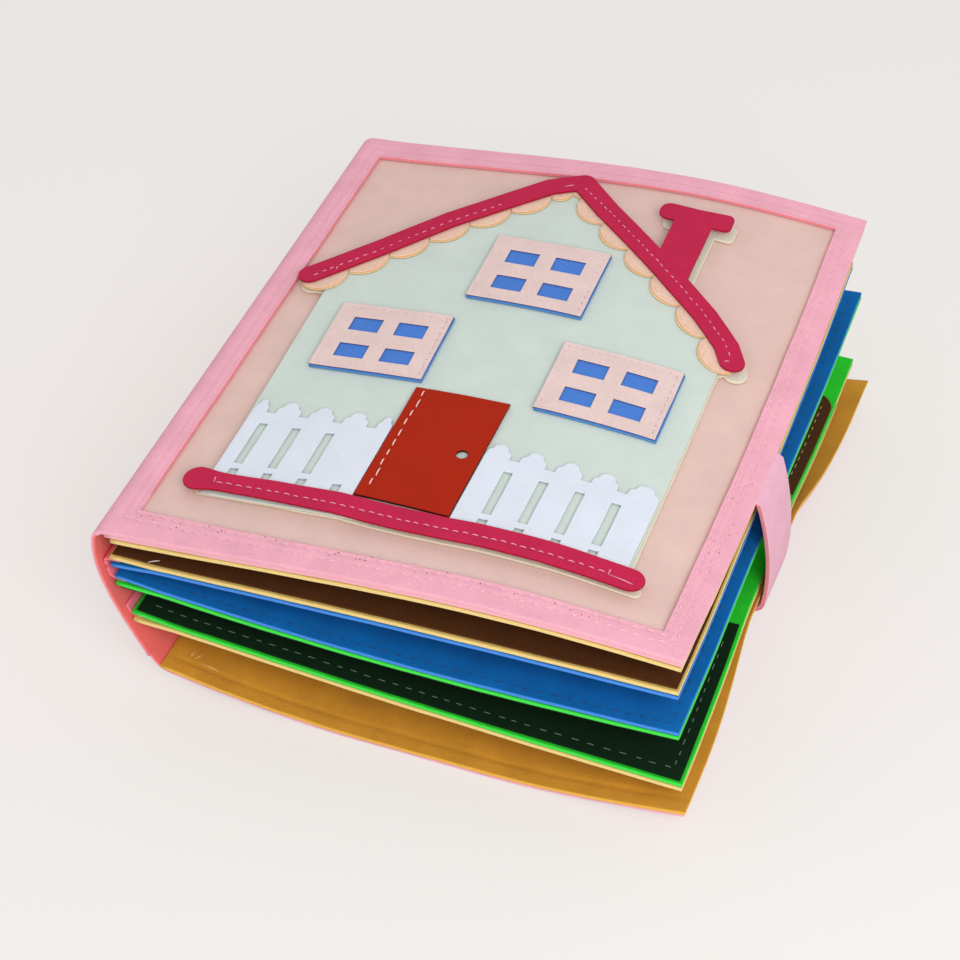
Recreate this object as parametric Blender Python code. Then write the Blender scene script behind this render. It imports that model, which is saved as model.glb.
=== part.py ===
"""Felt quiet book, closed on its back cover.

Metres, +Z up. The origin is in the middle of the flat strip of the back cover that the book lies on, +X
points to the fore-edge and +Y away from the reader. Each piece is cut flat from felt by its outline and then
bent onto a surface: a cover, a leaf, the spine or the strap. The surfaces are worked out from the sizes
below, and their folds are the same for all pieces of one stack, so layers lie parallel with a seam's gap.
"""

import math

import bmesh
import bpy
import numpy as np
from mathutils import Vector
from mathutils.geometry import interpolate_bezier

COLLECTION_NAME = "felt_quiet_book"

# Felt and clearances
FELT = 0.0015
APPLIQUE_FELT = 0.001
THIN_FELT = 0.0008
SEAM_GAP = 0.0003
FOLD_GAP = 0.0011
WELD_DISTANCE = 0.00001

# Front cover: flat size, heights of its outer face above the table, and how it bows
COVER_WIDTH = 0.190
COVER_HEIGHT = 0.220
SPINE_TOP_FRONT = 0.0655
SPINE_TOP_BACK = 0.0749
EDGE_TOP_FRONT = 0.0734
EDGE_TOP_BACK = 0.0793
CROWN_FRONT = 0.0043
CROWN_BACK = 0.0062
CROWN_POWER = 1.4
EDGE_DIP = 0.0073
DIP_POWER = 3
COVER_SET_BACK = 0.0008
SPINE_SKEW = 0.0056
EDGE_SKEW = 0.004
PANEL_SET_IN = 0.003
LINING_SET_IN = 0.005
COVER_COLUMNS = 12
COVER_ROWS = 10

# Borders of the pink frame round the picture
BORDER_SPINE = 0.0103
BORDER_BACK_LEFT = 0.0107
BORDER_BACK_RIGHT = 0.0081
BORDER_EDGE = 0.009
BORDER_FRONT = 0.0126

# Back cover: its fold lines, and how its ends rise from the strip that rests on the table
BACK_FOLD_FRONT = 0.0135
BACK_FOLD_BACK = 0.008
BACK_EDGE = 0.1915
BACK_RISE = 0.008
EDGE_RISE = 0.0068
RISE_POWER = 1.7
REST_START_SHARE = 0.387
REST_END_SHARE = 0.636
STRAP_LIFT = 0.007
STRAP_PULL = 0.0026
LIFT_POWER = 1.5
PLATEAU_GAIN = 1.4
PLATEAU_POWER = 4
BACK_COLUMNS = 8
BACK_ROWS = 8

# Spine
SPINE_WIDTH = 0.064
SPINE_BULGE = 0.006
SPINE_COLUMNS = 8

# Leaves, from the top one down
LEAF_SEAT_SHARES = (0.757, 0.615, 0.344)
LEAF_EDGE_FRONT_SHARES = (0.811, 0.522, 0.146)
LEAF_EDGE_BACK_SHARES = (0.786, 0.596, 0.123)
LEAF_1_WIDTH = 0.1866
LEAF_2_WIDTH = 0.1864
LEAF_3_WIDTH = 0.1839
LEAF_1_SAG = -0.001
LEAF_2_SAG = 0.0035
LEAF_3_SAG = 0.0015
LEAF_1_SHIFT = 0
LEAF_2_SHIFT = 0.0035
LEAF_3_SHIFT = 0.0012
LEAF_INSET = 0.0015
LEAF_COLUMNS = 7
LEAF_ROWS = 6
SHEET_START = 0.0015
BINDING_FELT = 0.001
BINDING_TAB = 0.010
BINDING_EASE = 0.022
BINDING_STRIP = 0.0036
BINDING_TURN = BINDING_FELT / 2 + SEAM_GAP

# Panels sewn on the leaves
PANEL_START = 0.005
PANEL_MARGIN = 0.0032
TOP_PANEL_MARGIN = 0.0018
DARK_PANEL_DEPTH = 0.062
PATCH_FRONT_SHARE = 0.6
PATCH_WIDTH_SHARE = 0.5
PATCH_BACK_MARGIN = 0.026
PATCH_CORNER = 0.008
PATCH_MARGIN = 0.0012

# Strap and its hook-and-loop patches
STRAP_WIDTH = 0.025
STRAP_FRONT = 0.0765
STRAP_LEAN_SHARE = 0.18
STRAP_CLEARANCE = 0.0013
STRAP_BULGE = 0.0009
STRAP_BEND = 0.0035
STRAP_TAIL = 0.024
STRAP_CORNER = 0.005
STRAP_RUN_STEPS = 8
STRAP_BEND_STEPS = 4
PATCH_INSET = 0.003
RUN_HANDLE_SHARES = (0.3, 0.68)

# House: walls, roof with its chimney, and the ground bar
WALL_CORNER_SHARES = ((0.1362, 0.1053), (0.1197, 0.6292), (0.859, 0.6057), (0.8665, 0.109))
ROOF_BAR = 0.0086
ROOF_PATH_SHARES = ((0.0824, 0.5998), (0.2571, 0.7527), (0.4829, 0.9231), (0.6472, 0.7803), (0.8773, 0.5933))
CHIMNEY_LEFT_SHARE = 0.6815
CHIMNEY_WIDTH = 0.0133
CHIMNEY_CAP_BASE_SHARE = 0.8773
CHIMNEY_CAP_HEIGHT = 0.0085
CHIMNEY_OVERHANG = 0.0064
CHIMNEY_CORNER = 0.0022
GROUND_BAR = 0.009
GROUND_PATH_SHARES = ((0.1189, 0.1226), (0.3779, 0.1281), (0.6029, 0.1158), (0.8715, 0.11))
BACKING_SHOW = 0.0012
BACKING_SIDE_SHARE = 1.2
BACKING_GROUND_SHARE = 0.5
LEFT_SCALLOPS = 6
LAST_SCALLOP_SHARE = 0.5
RIGHT_SCALLOPS = 6
SCALLOP_DEPTH = 0.0045
SCALLOP_POWER = 0.6
SCALLOP_STEPS = 5
TRIM_UNDERLAP_SHARE = 0.125
TRIM_REACH_SHARE = 0.4
ROUND_END_STEPS = 6
ROUNDED_BEND = math.radians(45)
ROUNDED_BEND_STEPS = 4

# Windows
WINDOW_WIDTH = 0.0409
WINDOW_HEIGHT = 0.0332
WINDOW_CENTRE_SHARES = {"left": (0.2852, 0.4746), "top": (0.4978, 0.6742), "right": (0.7045, 0.4618)}
WINDOW_TURNS = {"left": math.radians(2.8), "top": math.radians(-4.7), "right": 0}
WINDOW_LEAN_SHARES = {"left": 0.01, "top": -0.096, "right": -0.028}
WINDOW_BACKING_SHOW = 0.0003
PANE_WIDTH = 0.0107
PANE_HEIGHT = 0.0075
PANE_PITCH_ACROSS = 0.0166
PANE_PITCH_UP = 0.014

# Door
DOOR_LEFT_SHARE = 0.3926
DOOR_BOTTOM_SHARE = 0.1509
DOOR_HEM = 0.0038
DOOR_WIDTH = 0.0323
DOOR_HEIGHT = 0.052
DOOR_SLANT_SHARE = -0.046
DOOR_HINGE_GAP = 0.0003
DOOR_HOLE = 0.0045
DOOR_HOLE_CENTRE_SHARES = (0.83, 0.5)
DOOR_HOLE_STEPS = 12

# Fences
FENCE_LEFT_SLOT_SHARES = (0.1705, 0.1717)
FENCE_RIGHT_SLOT_SHARES = (0.6111, 0.1642)
FENCE_LEFT_SLANT_SHARE = 0.017
FENCE_RIGHT_SLANT_SHARE = -0.0225
FENCE_PITCH_SHARE = 0.062
FENCE_SLOT_WIDTH = 0.003
FENCE_SLOT_HEIGHT = 0.0195
FENCE_TOP_RAIL = 0.0053
FENCE_BOTTOM_RAIL = 0.0025
FENCE_FOOT = 0.0045
FENCE_FOOT_HIDDEN = 0.001
PICKET_RISE = 0.0062
FENCE_DIPS = 4
FENCE_LEFT_SLOTS = 3
FENCE_RIGHT_SLOTS = 4
PICKET_TOP_SHARES = ((-0.5, 0.0), (-0.46, 0.42), (-0.32, 0.55), (-0.24, 0.85), (0.0, 1.0),
                     (0.24, 0.85), (0.32, 0.55), (0.46, 0.42), (0.5, 0.0))

COLOURS = {
    "pink": (0.87, 0.40, 0.52),
    "peach": (0.75, 0.55, 0.48),
    "yellow": (0.78, 0.55, 0.14),
    "gold": (0.50, 0.22, 0.02),
    "cream": (0.75, 0.75, 0.62),
    "mint": (0.62, 0.70, 0.64),
    "apricot": (0.90, 0.58, 0.40),
    "crimson": (0.50, 0.015, 0.065),
    "red": (0.40, 0.018, 0.003),
    "pale_pink": (0.83, 0.61, 0.58),
    "blue": (0.03, 0.20, 0.70),
    "sky": (0.05, 0.22, 0.82),
    "white": (0.80, 0.83, 0.90),
    "green": (0.06, 0.68, 0.08),
    "dark_green": (0.004, 0.016, 0.005),
    "brown": (0.045, 0.014, 0.004),
    "binding": (0.85, 0.33, 0.42),
    "hook": (0.80, 0.42, 0.52),
}


def mix(start, end, share):
    """The value at a share of the way from start to end."""
    return start + (end - start) * share


def layer_above(level, thickness):
    """Lower and upper level of a piece that lies a seam's gap above a level."""
    return level + SEAM_GAP, level + SEAM_GAP + thickness


def layer_below(level, thickness):
    """Lower and upper level of a piece that lies a seam's gap below a level."""
    return level - SEAM_GAP - thickness, level - SEAM_GAP


def mirrored(levels):
    """The same two levels on the other side of a surface."""
    return -levels[1], -levels[0]


# Levels on the front cover, measured from its outer face
FRAME_LEVELS = (-FELT, 0)
PANEL_LEVELS = layer_below(FRAME_LEVELS[0], FELT)
LINING_LEVELS = layer_below(PANEL_LEVELS[0], FELT)
BACKING_LEVELS = layer_above(PANEL_LEVELS[1], THIN_FELT)
WALL_LEVELS = layer_above(BACKING_LEVELS[1], THIN_FELT)
TRIM_LEVELS = layer_above(WALL_LEVELS[1], THIN_FELT)
DOOR_LEVELS = layer_above(WALL_LEVELS[1], APPLIQUE_FELT)
TOP_LEVELS = layer_above(TRIM_LEVELS[1], APPLIQUE_FELT)

# Levels on the back cover, measured up from its outer face
OUTER_LEVELS = (0, FELT)
GOLD_LEVELS = layer_above(OUTER_LEVELS[1], FELT)
LOOP_LEVELS = layer_below(OUTER_LEVELS[0], THIN_FELT)

# Levels across a leaf, from its middle, and on the strap and spine, from the middle of their felt
TAB_LEVELS = (-BINDING_FELT / 2, BINDING_FELT / 2)
SPREAD_LEVELS = layer_above(TAB_LEVELS[1], FELT)
CLOSED_LEVELS = layer_above(-SEAM_GAP / 2, FELT)
LEAF_PANEL_LEVELS = layer_above(CLOSED_LEVELS[1], THIN_FELT)
STRAP_LEVELS = (-FELT / 2, FELT / 2)
HOOK_LEVELS = layer_below(STRAP_LEVELS[0], THIN_FELT)
TAIL_DEPTH = -LOOP_LEVELS[0] + SEAM_GAP - HOOK_LEVELS[0]


def plateau(v):
    """Rises from nothing at either end to a flat middle, where the strap pulls."""
    return min(1, PLATEAU_GAIN * math.sin(math.pi * v) ** PLATEAU_POWER)


def back_cover_point(a, b):
    """Underside of the back cover, before the origin is moved."""
    u = a / BACK_WIDTH
    v = b / COVER_HEIGHT
    fold = mix(BACK_FOLD_FRONT, BACK_FOLD_BACK, v)
    edge = BACK_EDGE - STRAP_PULL * plateau(v)
    height = 0
    if u < REST_START_SHARE:
        height = BACK_RISE * ((REST_START_SHARE - u) / REST_START_SHARE) ** RISE_POWER
    if u > REST_END_SHARE:
        t = (u - REST_END_SHARE) / (1 - REST_END_SHARE)
        height = EDGE_RISE * t ** RISE_POWER + STRAP_LIFT * plateau(v) * t ** LIFT_POWER
    return Vector((mix(fold, edge, u), b, height))


def front_cover_point(a, b):
    """Outer face of the front cover, before the origin is moved."""
    u = a / COVER_WIDTH
    v = b / COVER_HEIGHT
    spine = mix(SPINE_TOP_FRONT, SPINE_TOP_BACK, v)
    edge = mix(EDGE_TOP_FRONT, EDGE_TOP_BACK, v)
    crown = mix(CROWN_FRONT, CROWN_BACK, v) * math.sin(math.pi * u ** CROWN_POWER)
    dip = EDGE_DIP * math.sin(math.pi * v) * u ** DIP_POWER
    skew = mix(SPINE_SKEW, EDGE_SKEW, u) * v
    return Vector((a - COVER_SET_BACK - skew, b, mix(spine, edge, u) + crown - dip))


def spine_point(a, b):
    """Middle of the spine's felt, from the lower fold to the upper one, before the origin is moved."""
    s = a / SPINE_WIDTH
    lower = back_cover_point(0, b) + Vector((0, 0, FELT / 2))
    upper = front_cover_point(0, b) - Vector((0, 0, FELT / 2))
    return mix(lower, upper, s) - Vector((SPINE_BULGE * 4 * s * (1 - s), 0, 0))


BACK_WIDTH = BACK_EDGE - BACK_FOLD_FRONT
REST_MIDDLE = BACK_WIDTH * (REST_START_SHARE + REST_END_SHARE) / 2
ORIGIN = back_cover_point(REST_MIDDLE, COVER_HEIGHT / 2)


def shares(count):
    """Even shares from none to all."""
    return [i / count for i in range(count + 1)]


class FeltSurface:
    """A bent surface with straight folds along fixed lines, on which flat pieces are laid."""

    def __init__(self, across, along, point, upright=True):
        """Fold lines both ways, and the function that bends the flat grid between them."""
        self.across = np.array(across)
        self.along = np.array(along)
        self.points = np.array([[point(a, b) - ORIGIN for b in along] for a in across])
        if upright:
            self.normals = np.zeros_like(self.points)
            self.normals[..., 2] = 1
        else:
            normals = np.cross(np.gradient(self.points, axis=0), np.gradient(self.points, axis=1))
            self.normals = normals / np.linalg.norm(normals, axis=2, keepdims=True)

    def place(self, a, b, level):
        """The point at flat place a, b and this level off the surface."""
        i = int(np.clip(np.searchsorted(self.across, a) - 1, 0, len(self.across) - 2))
        j = int(np.clip(np.searchsorted(self.along, b) - 1, 0, len(self.along) - 2))
        s = (a - self.across[i]) / (self.across[i + 1] - self.across[i])
        t = (b - self.along[j]) / (self.along[j + 1] - self.along[j])
        grid = self.points + self.normals * level
        near = mix(grid[i, j], grid[i + 1, j], s)
        far = mix(grid[i, j + 1], grid[i + 1, j + 1], s)
        return Vector(mix(near, far, t))


def covered_lines(size, count):
    """Fold lines at even steps over a size."""
    return [size * share for share in shares(count)]


COVER_ROW_LINES = covered_lines(COVER_HEIGHT, COVER_ROWS)
COVER_SURFACE = FeltSurface(covered_lines(COVER_WIDTH, COVER_COLUMNS), COVER_ROW_LINES, front_cover_point)
REST_LINES = [BACK_WIDTH * REST_START_SHARE, BACK_WIDTH * REST_END_SHARE]
BACK_SURFACE = FeltSurface(
    sorted(line for line in covered_lines(BACK_WIDTH, BACK_COLUMNS) + REST_LINES),
    covered_lines(COVER_HEIGHT, BACK_ROWS), back_cover_point)
SPINE_SURFACE = FeltSurface(covered_lines(SPINE_WIDTH, SPINE_COLUMNS), COVER_ROW_LINES, spine_point,
                            upright=False)


def leaf_axis(seat_share, b):
    """Line that a leaf turns on, just inside the spine, before the origin is moved."""
    ends = []
    for end in (0, COVER_HEIGHT):
        along_spine = spine_point(SPINE_WIDTH * seat_share + WELD_DISTANCE, end)
        along_spine -= spine_point(SPINE_WIDTH * seat_share - WELD_DISTANCE, end)
        inward = Vector((along_spine.z, 0, -along_spine.x)).normalized()
        depth = FELT / 2 + SEAM_GAP + BINDING_FELT + BINDING_TURN
        ends.append(spine_point(SPINE_WIDTH * seat_share, end) + inward * depth)
    return mix(ends[0], ends[1], b / COVER_HEIGHT)


class Leaf:
    """One leaf's sizes and its bent middle surface."""

    def __init__(self, index, width, sag, shift):
        """Index from the top, width, sag of the middle, and shift of the free edge towards the back."""
        self.index = index
        self.width = width
        self.sag = sag
        self.shift = shift
        columns = [BINDING_EASE + (width - BINDING_EASE) * share for share in shares(LEAF_COLUMNS)]
        rows = covered_lines(COVER_HEIGHT, LEAF_ROWS)
        self.surface = FeltSurface([0, BINDING_TAB] + columns, rows, self.point)
        self.pivot = leaf_axis(LEAF_SEAT_SHARES[index], COVER_HEIGHT / 2) - ORIGIN

    def point(self, a, b):
        """Middle of the leaf, between its two sheets, before the origin is moved."""
        u = a / self.width
        v = b / COVER_HEIGHT
        axis = leaf_axis(LEAF_SEAT_SHARES[self.index], b)
        floor = back_cover_point(BACK_WIDTH, b).z + GOLD_LEVELS[1]
        ceiling = front_cover_point(COVER_WIDTH, b).z + LINING_LEVELS[0]
        share = mix(LEAF_EDGE_FRONT_SHARES[self.index], LEAF_EDGE_BACK_SHARES[self.index], v)
        height = mix(axis.z, mix(floor, ceiling, share), u) - self.sag * math.sin(math.pi * u)
        return Vector((axis.x + a + self.shift * u * v, b, height))

    def spread_up(self, a):
        """How far the binding tab holds the upper sheet off its closed level."""
        full = SPREAD_LEVELS[0] - CLOSED_LEVELS[0]
        return full * min(1, max(0, (BINDING_EASE - a) / (BINDING_EASE - BINDING_TAB)))

    def spread_down(self, a):
        """The same for the lower sheet."""
        return -self.spread_up(a)


LEAVES = [
    Leaf(0, LEAF_1_WIDTH, LEAF_1_SAG, LEAF_1_SHIFT),
    Leaf(1, LEAF_2_WIDTH, LEAF_2_SAG, LEAF_2_SHIFT),
    Leaf(2, LEAF_3_WIDTH, LEAF_3_SAG, LEAF_3_SHIFT),
]


def strap_route():
    """Middle line of the strap, from the cover's edge round to its end under the back cover."""
    middle = STRAP_FRONT + STRAP_WIDTH / 2
    edge = COVER_SURFACE.place(COVER_WIDTH + FOLD_GAP, middle, -FELT / 2)
    low_edge = BACK_SURFACE.place(BACK_WIDTH, COVER_HEIGHT / 2, 0)
    low = Vector((low_edge.x + STRAP_CLEARANCE, edge.y, low_edge.z + FELT))
    tail_line = BACK_WIDTH - STRAP_BEND
    tail = BACK_SURFACE.place(tail_line, COVER_HEIGHT / 2, -TAIL_DEPTH)
    tail.y = edge.y
    first, second = (mix(edge, low, share) for share in RUN_HANDLE_SHARES)
    first.x = low.x + STRAP_BULGE / 2
    second.x = low.x + STRAP_BULGE
    run = interpolate_bezier(edge, first, second, low, STRAP_RUN_STEPS + 1)
    below = Vector((low.x - STRAP_BULGE / 2, edge.y, tail.z + STRAP_BEND / 2))
    beside = Vector(((tail.x + low.x) / 2, edge.y, tail.z + STRAP_BEND / 4))
    bend = interpolate_bezier(low, below, beside, tail, STRAP_BEND_STEPS + 1)
    tail_end = tail_line - STRAP_TAIL
    first_line, last_line = tail_end + STRAP_BEND / 2, tail_line - STRAP_BEND / 2
    lines = [line for line in BACK_SURFACE.across if first_line < line < last_line]
    under = [BACK_SURFACE.place(line, COVER_HEIGHT / 2, -TAIL_DEPTH) for line in [tail_end] + lines]
    for point in under:
        point.y = edge.y
    return list(run) + list(bend[1:]) + under[::-1]


STRAP_ROUTE = strap_route()
STRAP_STEPS = [(after - before).length for before, after in zip(STRAP_ROUTE, STRAP_ROUTE[1:])]
STRAP_LINES = [sum(STRAP_STEPS[:i]) for i in range(len(STRAP_ROUTE))]
STRAP_LENGTH = STRAP_LINES[-1]


def strap_point(a, b):
    """A place on the strap's middle surface, which leans back on its way down."""
    nearest = min(range(len(STRAP_LINES)), key=lambda i: abs(STRAP_LINES[i] - a))
    point = STRAP_ROUTE[nearest] + ORIGIN
    point.y = b + STRAP_LEAN_SHARE * a
    return point


STRAP_SURFACE = FeltSurface(STRAP_LINES, [STRAP_FRONT, STRAP_FRONT + STRAP_WIDTH], strap_point, upright=False)


def rectangle(left, bottom, right, top):
    """Corners of an upright rectangle."""
    return [(left, bottom), (right, bottom), (right, top), (left, top)]


def arc(centre, radius, start, end, steps):
    """Points along an arc, its angles in radians."""
    angles = [mix(start, end, share) for share in shares(steps)]
    return [(centre[0] + radius * math.cos(t), centre[1] + radius * math.sin(t)) for t in angles]


def on_cover(place_shares):
    """Flat place on the front cover from shares of its width and height."""
    return Vector((COVER_WIDTH * place_shares[0], COVER_HEIGHT * place_shares[1]))


def turned(points, centre, angle):
    """Points given about a centre, turned and moved there."""
    cos, sin = math.cos(angle), math.sin(angle)
    return [(centre[0] + x * cos - y * sin, centre[1] + x * sin + y * cos) for x, y in points]


def left_normal(direction):
    """Direction turned a quarter to the left."""
    return Vector((-direction.y, direction.x))


def bar_side(path, offset):
    """One side of a bar along a path: mitred, but rounded outside a sharp bend."""
    runs = [(after - before).normalized() for before, after in zip(path, path[1:])]
    points = [path[0] + left_normal(runs[0]) * offset]
    for corner, before, after in zip(path[1:-1], runs, runs[1:]):
        first, second = left_normal(before), left_normal(after)
        sharp = before.dot(after) < math.cos(ROUNDED_BEND)
        outside = (before.x * after.y - before.y * after.x) * offset < 0
        if sharp and outside:
            points += [corner + mix(first, second, share).normalized() * offset
                       for share in shares(ROUNDED_BEND_STEPS)]
        else:
            points.append(corner + (first + second) * offset / (1 + first.dot(second)))
    points.append(path[-1] + left_normal(runs[-1]) * offset)
    return points


def round_end(path, end, radius):
    """Half circle round the first or the last point of a path, clockwise."""
    if end == "last":
        heading = path[-1] - path[-2]
        centre = path[-1]
    else:
        heading = path[0] - path[1]
        centre = path[0]
    angle = math.atan2(heading.y, heading.x)
    points = arc(centre, radius, angle + math.pi / 2, angle - math.pi / 2, ROUND_END_STEPS)
    return [Vector(point) for point in points[1:-1]]


def bar(path, width, top=None):
    """Outline of a bar with round ends, whose upper side can be given."""
    upper = top or bar_side(path, width / 2)
    lower = bar_side(path, -width / 2)
    return upper + round_end(path, "last", width / 2) + lower[::-1] + round_end(path, "first", width / 2)


def height_at(side, x):
    """Height of a side's line at x."""
    for before, after in zip(side, side[1:]):
        if before.x <= x <= after.x:
            return mix(before.y, after.y, (x - before.x) / (after.x - before.x))
    return side[-1].y


def with_chimney(side, grow):
    """A roof's upper side, broken by the chimney that stands on it."""
    left = COVER_WIDTH * CHIMNEY_LEFT_SHARE - grow
    right = left + CHIMNEY_WIDTH + grow * 2
    cap_base = COVER_HEIGHT * CHIMNEY_CAP_BASE_SHARE - grow
    cap_top = cap_base + CHIMNEY_CAP_HEIGHT + grow * 2
    cap_left = left - CHIMNEY_OVERHANG
    cap_right = right + CHIMNEY_OVERHANG
    corner = CHIMNEY_CORNER
    chimney = [
        (left, height_at(side, left)), (left, cap_base), (cap_left + corner, cap_base),
        (cap_left, cap_base + corner), (cap_left, cap_top - corner), (cap_left + corner, cap_top),
        (cap_right - corner, cap_top), (cap_right, cap_top - corner), (cap_right, cap_base),
        (right, cap_base), (right, height_at(side, right))]
    before = [point for point in side if point.x < left]
    after = [point for point in side if point.x > right]
    return before + [Vector(point) for point in chimney] + after


def moved(points, x, y):
    """Points of an outline moved by x and y."""
    return [Vector((point[0] + x, point[1] + y)) for point in points]


FENCE_PITCH = COVER_WIDTH * FENCE_PITCH_SHARE
ROOF_PATH = [on_cover(place) for place in ROOF_PATH_SHARES]
GROUND_PATH = [on_cover(place) for place in GROUND_PATH_SHARES]


def house_backing_outline():
    """Shape of the whole house, moved to the front and right so that a rim of it shows."""
    width = ROOF_BAR
    top = with_chimney(bar_side(ROOF_PATH, width / 2), 0)
    right_end = round_end(ROOF_PATH, "last", width / 2)
    left_end = round_end(ROOF_PATH, "first", width / 2)
    under_right = ROOF_PATH[-1] + Vector((-width, -width)) / 2
    under_left = ROOF_PATH[0] + Vector((width, -width)) / 2
    wall = [on_cover(corner) for corner in WALL_CORNER_SHARES]
    right_wall = [Vector((wall[2].x, under_right.y)), Vector((wall[3].x, GROUND_PATH[-1].y + GROUND_BAR / 2))]
    left_wall = [Vector((wall[0].x, GROUND_PATH[0].y + GROUND_BAR / 2)), Vector((wall[1].x, under_left.y))]
    foot = GROUND_BAR * BACKING_GROUND_SHARE
    ground = bar_side(GROUND_PATH, -foot / 2)[::-1]
    ground_right = round_end(GROUND_PATH, "last", foot / 2)[1:]
    ground_left = round_end(GROUND_PATH, "first", foot / 2)[:-1]
    outline = top + right_end + right_wall + ground_right + ground + ground_left + left_wall + left_end
    return moved(outline, BACKING_SHOW * BACKING_SIDE_SHARE, -BACKING_SHOW)


def house_wall_outline():
    """Wall with its gable running up to the middle of the roof bar."""
    corners = [on_cover(corner) for corner in WALL_CORNER_SHARES]
    return [corners[0], corners[1], ROOF_PATH[1], ROOF_PATH[2], ROOF_PATH[3], corners[2], corners[3]]


def scallops(start, end, count):
    """Half-round lobes from start to end, bulging right; a count that isn't whole ends in a small one."""
    step = (end - start) / count
    outward = -left_normal(step.normalized())
    points = []
    for i in range(math.ceil(count)):
        size = min(1, count - i)
        for share in shares(SCALLOP_STEPS)[:-1]:
            rise = SCALLOP_DEPTH * size * math.sin(math.pi * share) ** SCALLOP_POWER
            points.append(start + step * (i + share * size) + outward * rise)
    return points + [end]


def roof_trim_outline():
    """Scalloped strip under the roof bar, from one end of the bar to the other."""
    inner = bar_side(ROOF_PATH, -ROOF_BAR / 2)
    middle = bar_side(ROOF_PATH, -ROOF_BAR * TRIM_UNDERLAP_SHARE)
    left_reach = (ROOF_PATH[0] - ROOF_PATH[1]).normalized() * ROOF_BAR * TRIM_REACH_SHARE
    right_reach = (ROOF_PATH[-1] - ROOF_PATH[-2]).normalized() * ROOF_BAR * TRIM_REACH_SHARE
    left_start, right_end = inner[0] + left_reach, inner[-1] + right_reach
    apex = inner[2]
    left_down, right_down = (left_start - apex).normalized(), (right_end - apex).normalized()
    clear = SCALLOP_DEPTH / math.tan(left_down.angle(right_down) / 2)
    left_lobes = scallops(left_start, apex + left_down * clear / 2, LEFT_SCALLOPS + LAST_SCALLOP_SHARE)
    right_lobes = scallops(apex + right_down * clear, right_end, RIGHT_SCALLOPS)
    upper = [middle[0] + left_reach] + middle[1:-1] + [middle[-1] + right_reach]
    return upper + (left_lobes + right_lobes)[::-1]


def window_outlines(place, grow):
    """Window frame's border and panes, or with grow the plain sheet behind it."""
    centre = on_cover(WINDOW_CENTRE_SHARES[place])
    half_width, half_height = WINDOW_WIDTH / 2, WINDOW_HEIGHT / 2

    def placed(points, middle):
        leaning = [(x + WINDOW_LEAN_SHARES[place] * y, y) for x, y in points]
        return turned(leaning, middle, WINDOW_TURNS[place])

    sheet = rectangle(-half_width, -half_height, half_width, half_height)
    if grow:
        return [placed(sheet, centre + Vector((grow, -grow)))]
    outlines = [placed(sheet, centre)]
    for across in (-1, 1):
        for up in (-1, 1):
            x, y = across * PANE_PITCH_ACROSS / 2, up * PANE_PITCH_UP / 2
            pane = rectangle(x - PANE_WIDTH / 2, y - PANE_HEIGHT / 2, x + PANE_WIDTH / 2, y + PANE_HEIGHT / 2)
            outlines.append(placed(pane, centre))
    return outlines


def fence_outlines(slot_shares, slant, left, right, slots):
    """A fence with pickets, dips between their tops, slots between the rails and gaps between the feet."""
    first = on_cover(slot_shares)

    def place(x, y):
        return (x, first.y + y + slant * (x - first.x))

    middles = [first.x + FENCE_PITCH * i for i in range(FENCE_DIPS)]
    half = FENCE_SLOT_WIDTH / 2
    edges = [left] + [middle + side * half for middle in middles for side in (-1, 1)] + [right]
    rail_top = FENCE_SLOT_HEIGHT + FENCE_TOP_RAIL
    foot = -FENCE_BOTTOM_RAIL - FENCE_FOOT
    border = [place(right, foot), place(left, foot)]
    for start, end in zip(edges[::2], edges[1::2]):
        for across, up in PICKET_TOP_SHARES:
            border.append(place((start + end) / 2 + across * (end - start), rail_top + up * PICKET_RISE))
    outlines = [border]
    for i, middle in enumerate(middles):
        low, high = foot + FENCE_FOOT_HIDDEN, -FENCE_BOTTOM_RAIL
        outlines.append([place(*corner) for corner in rectangle(middle - half, low, middle + half, high)])
        if i < slots:
            slot = rectangle(middle - half, 0, middle + half, FENCE_SLOT_HEIGHT)
            outlines.append([place(*corner) for corner in slot])
    return outlines


def door_outline(left, right):
    """Part of the door between two sides, with its slanting foot."""
    start = COVER_WIDTH * DOOR_LEFT_SHARE
    bottom = COVER_HEIGHT * DOOR_BOTTOM_SHARE
    top = bottom + DOOR_HEIGHT
    foot = [bottom + DOOR_SLANT_SHARE * (side - start) for side in (left, right)]
    return [(left, foot[0]), (right, foot[1]), (right, top), (left, top)]


def felt_material(colour):
    """Matt felt of a named colour, made once."""
    material = bpy.data.materials.get(colour) or bpy.data.materials.new(colour)
    material.use_nodes = True
    shader = material.node_tree.nodes["Principled BSDF"]
    shader.inputs["Base Color"].default_value = (*COLOURS[colour], 1)
    shader.inputs["Roughness"].default_value = 0.95
    shader.inputs["Metallic"].default_value = 0
    return material


def flat_felt(name, outlines, thickness, collection):
    """A flat piece cut out by its outlines, as a mesh whose caps are welded to its edges."""
    curve = bpy.data.curves.new(name, "CURVE")
    curve.dimensions = "2D"
    curve.fill_mode = "BOTH"
    curve.extrude = thickness / 2
    for outline in outlines:
        spline = curve.splines.new("POLY")
        spline.points.add(len(outline) - 1)
        for point, place in zip(spline.points, outline):
            point.co = (place[0], place[1], 0, 1)
        spline.use_cyclic_u = True
    pattern = bpy.data.objects.new(name, curve)
    collection.objects.link(pattern)
    bpy.context.view_layer.update()
    evaluated = pattern.evaluated_get(bpy.context.evaluated_depsgraph_get())
    mesh = bpy.data.meshes.new_from_object(evaluated)
    bpy.data.objects.remove(pattern)
    bpy.data.curves.remove(curve)
    return mesh


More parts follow.
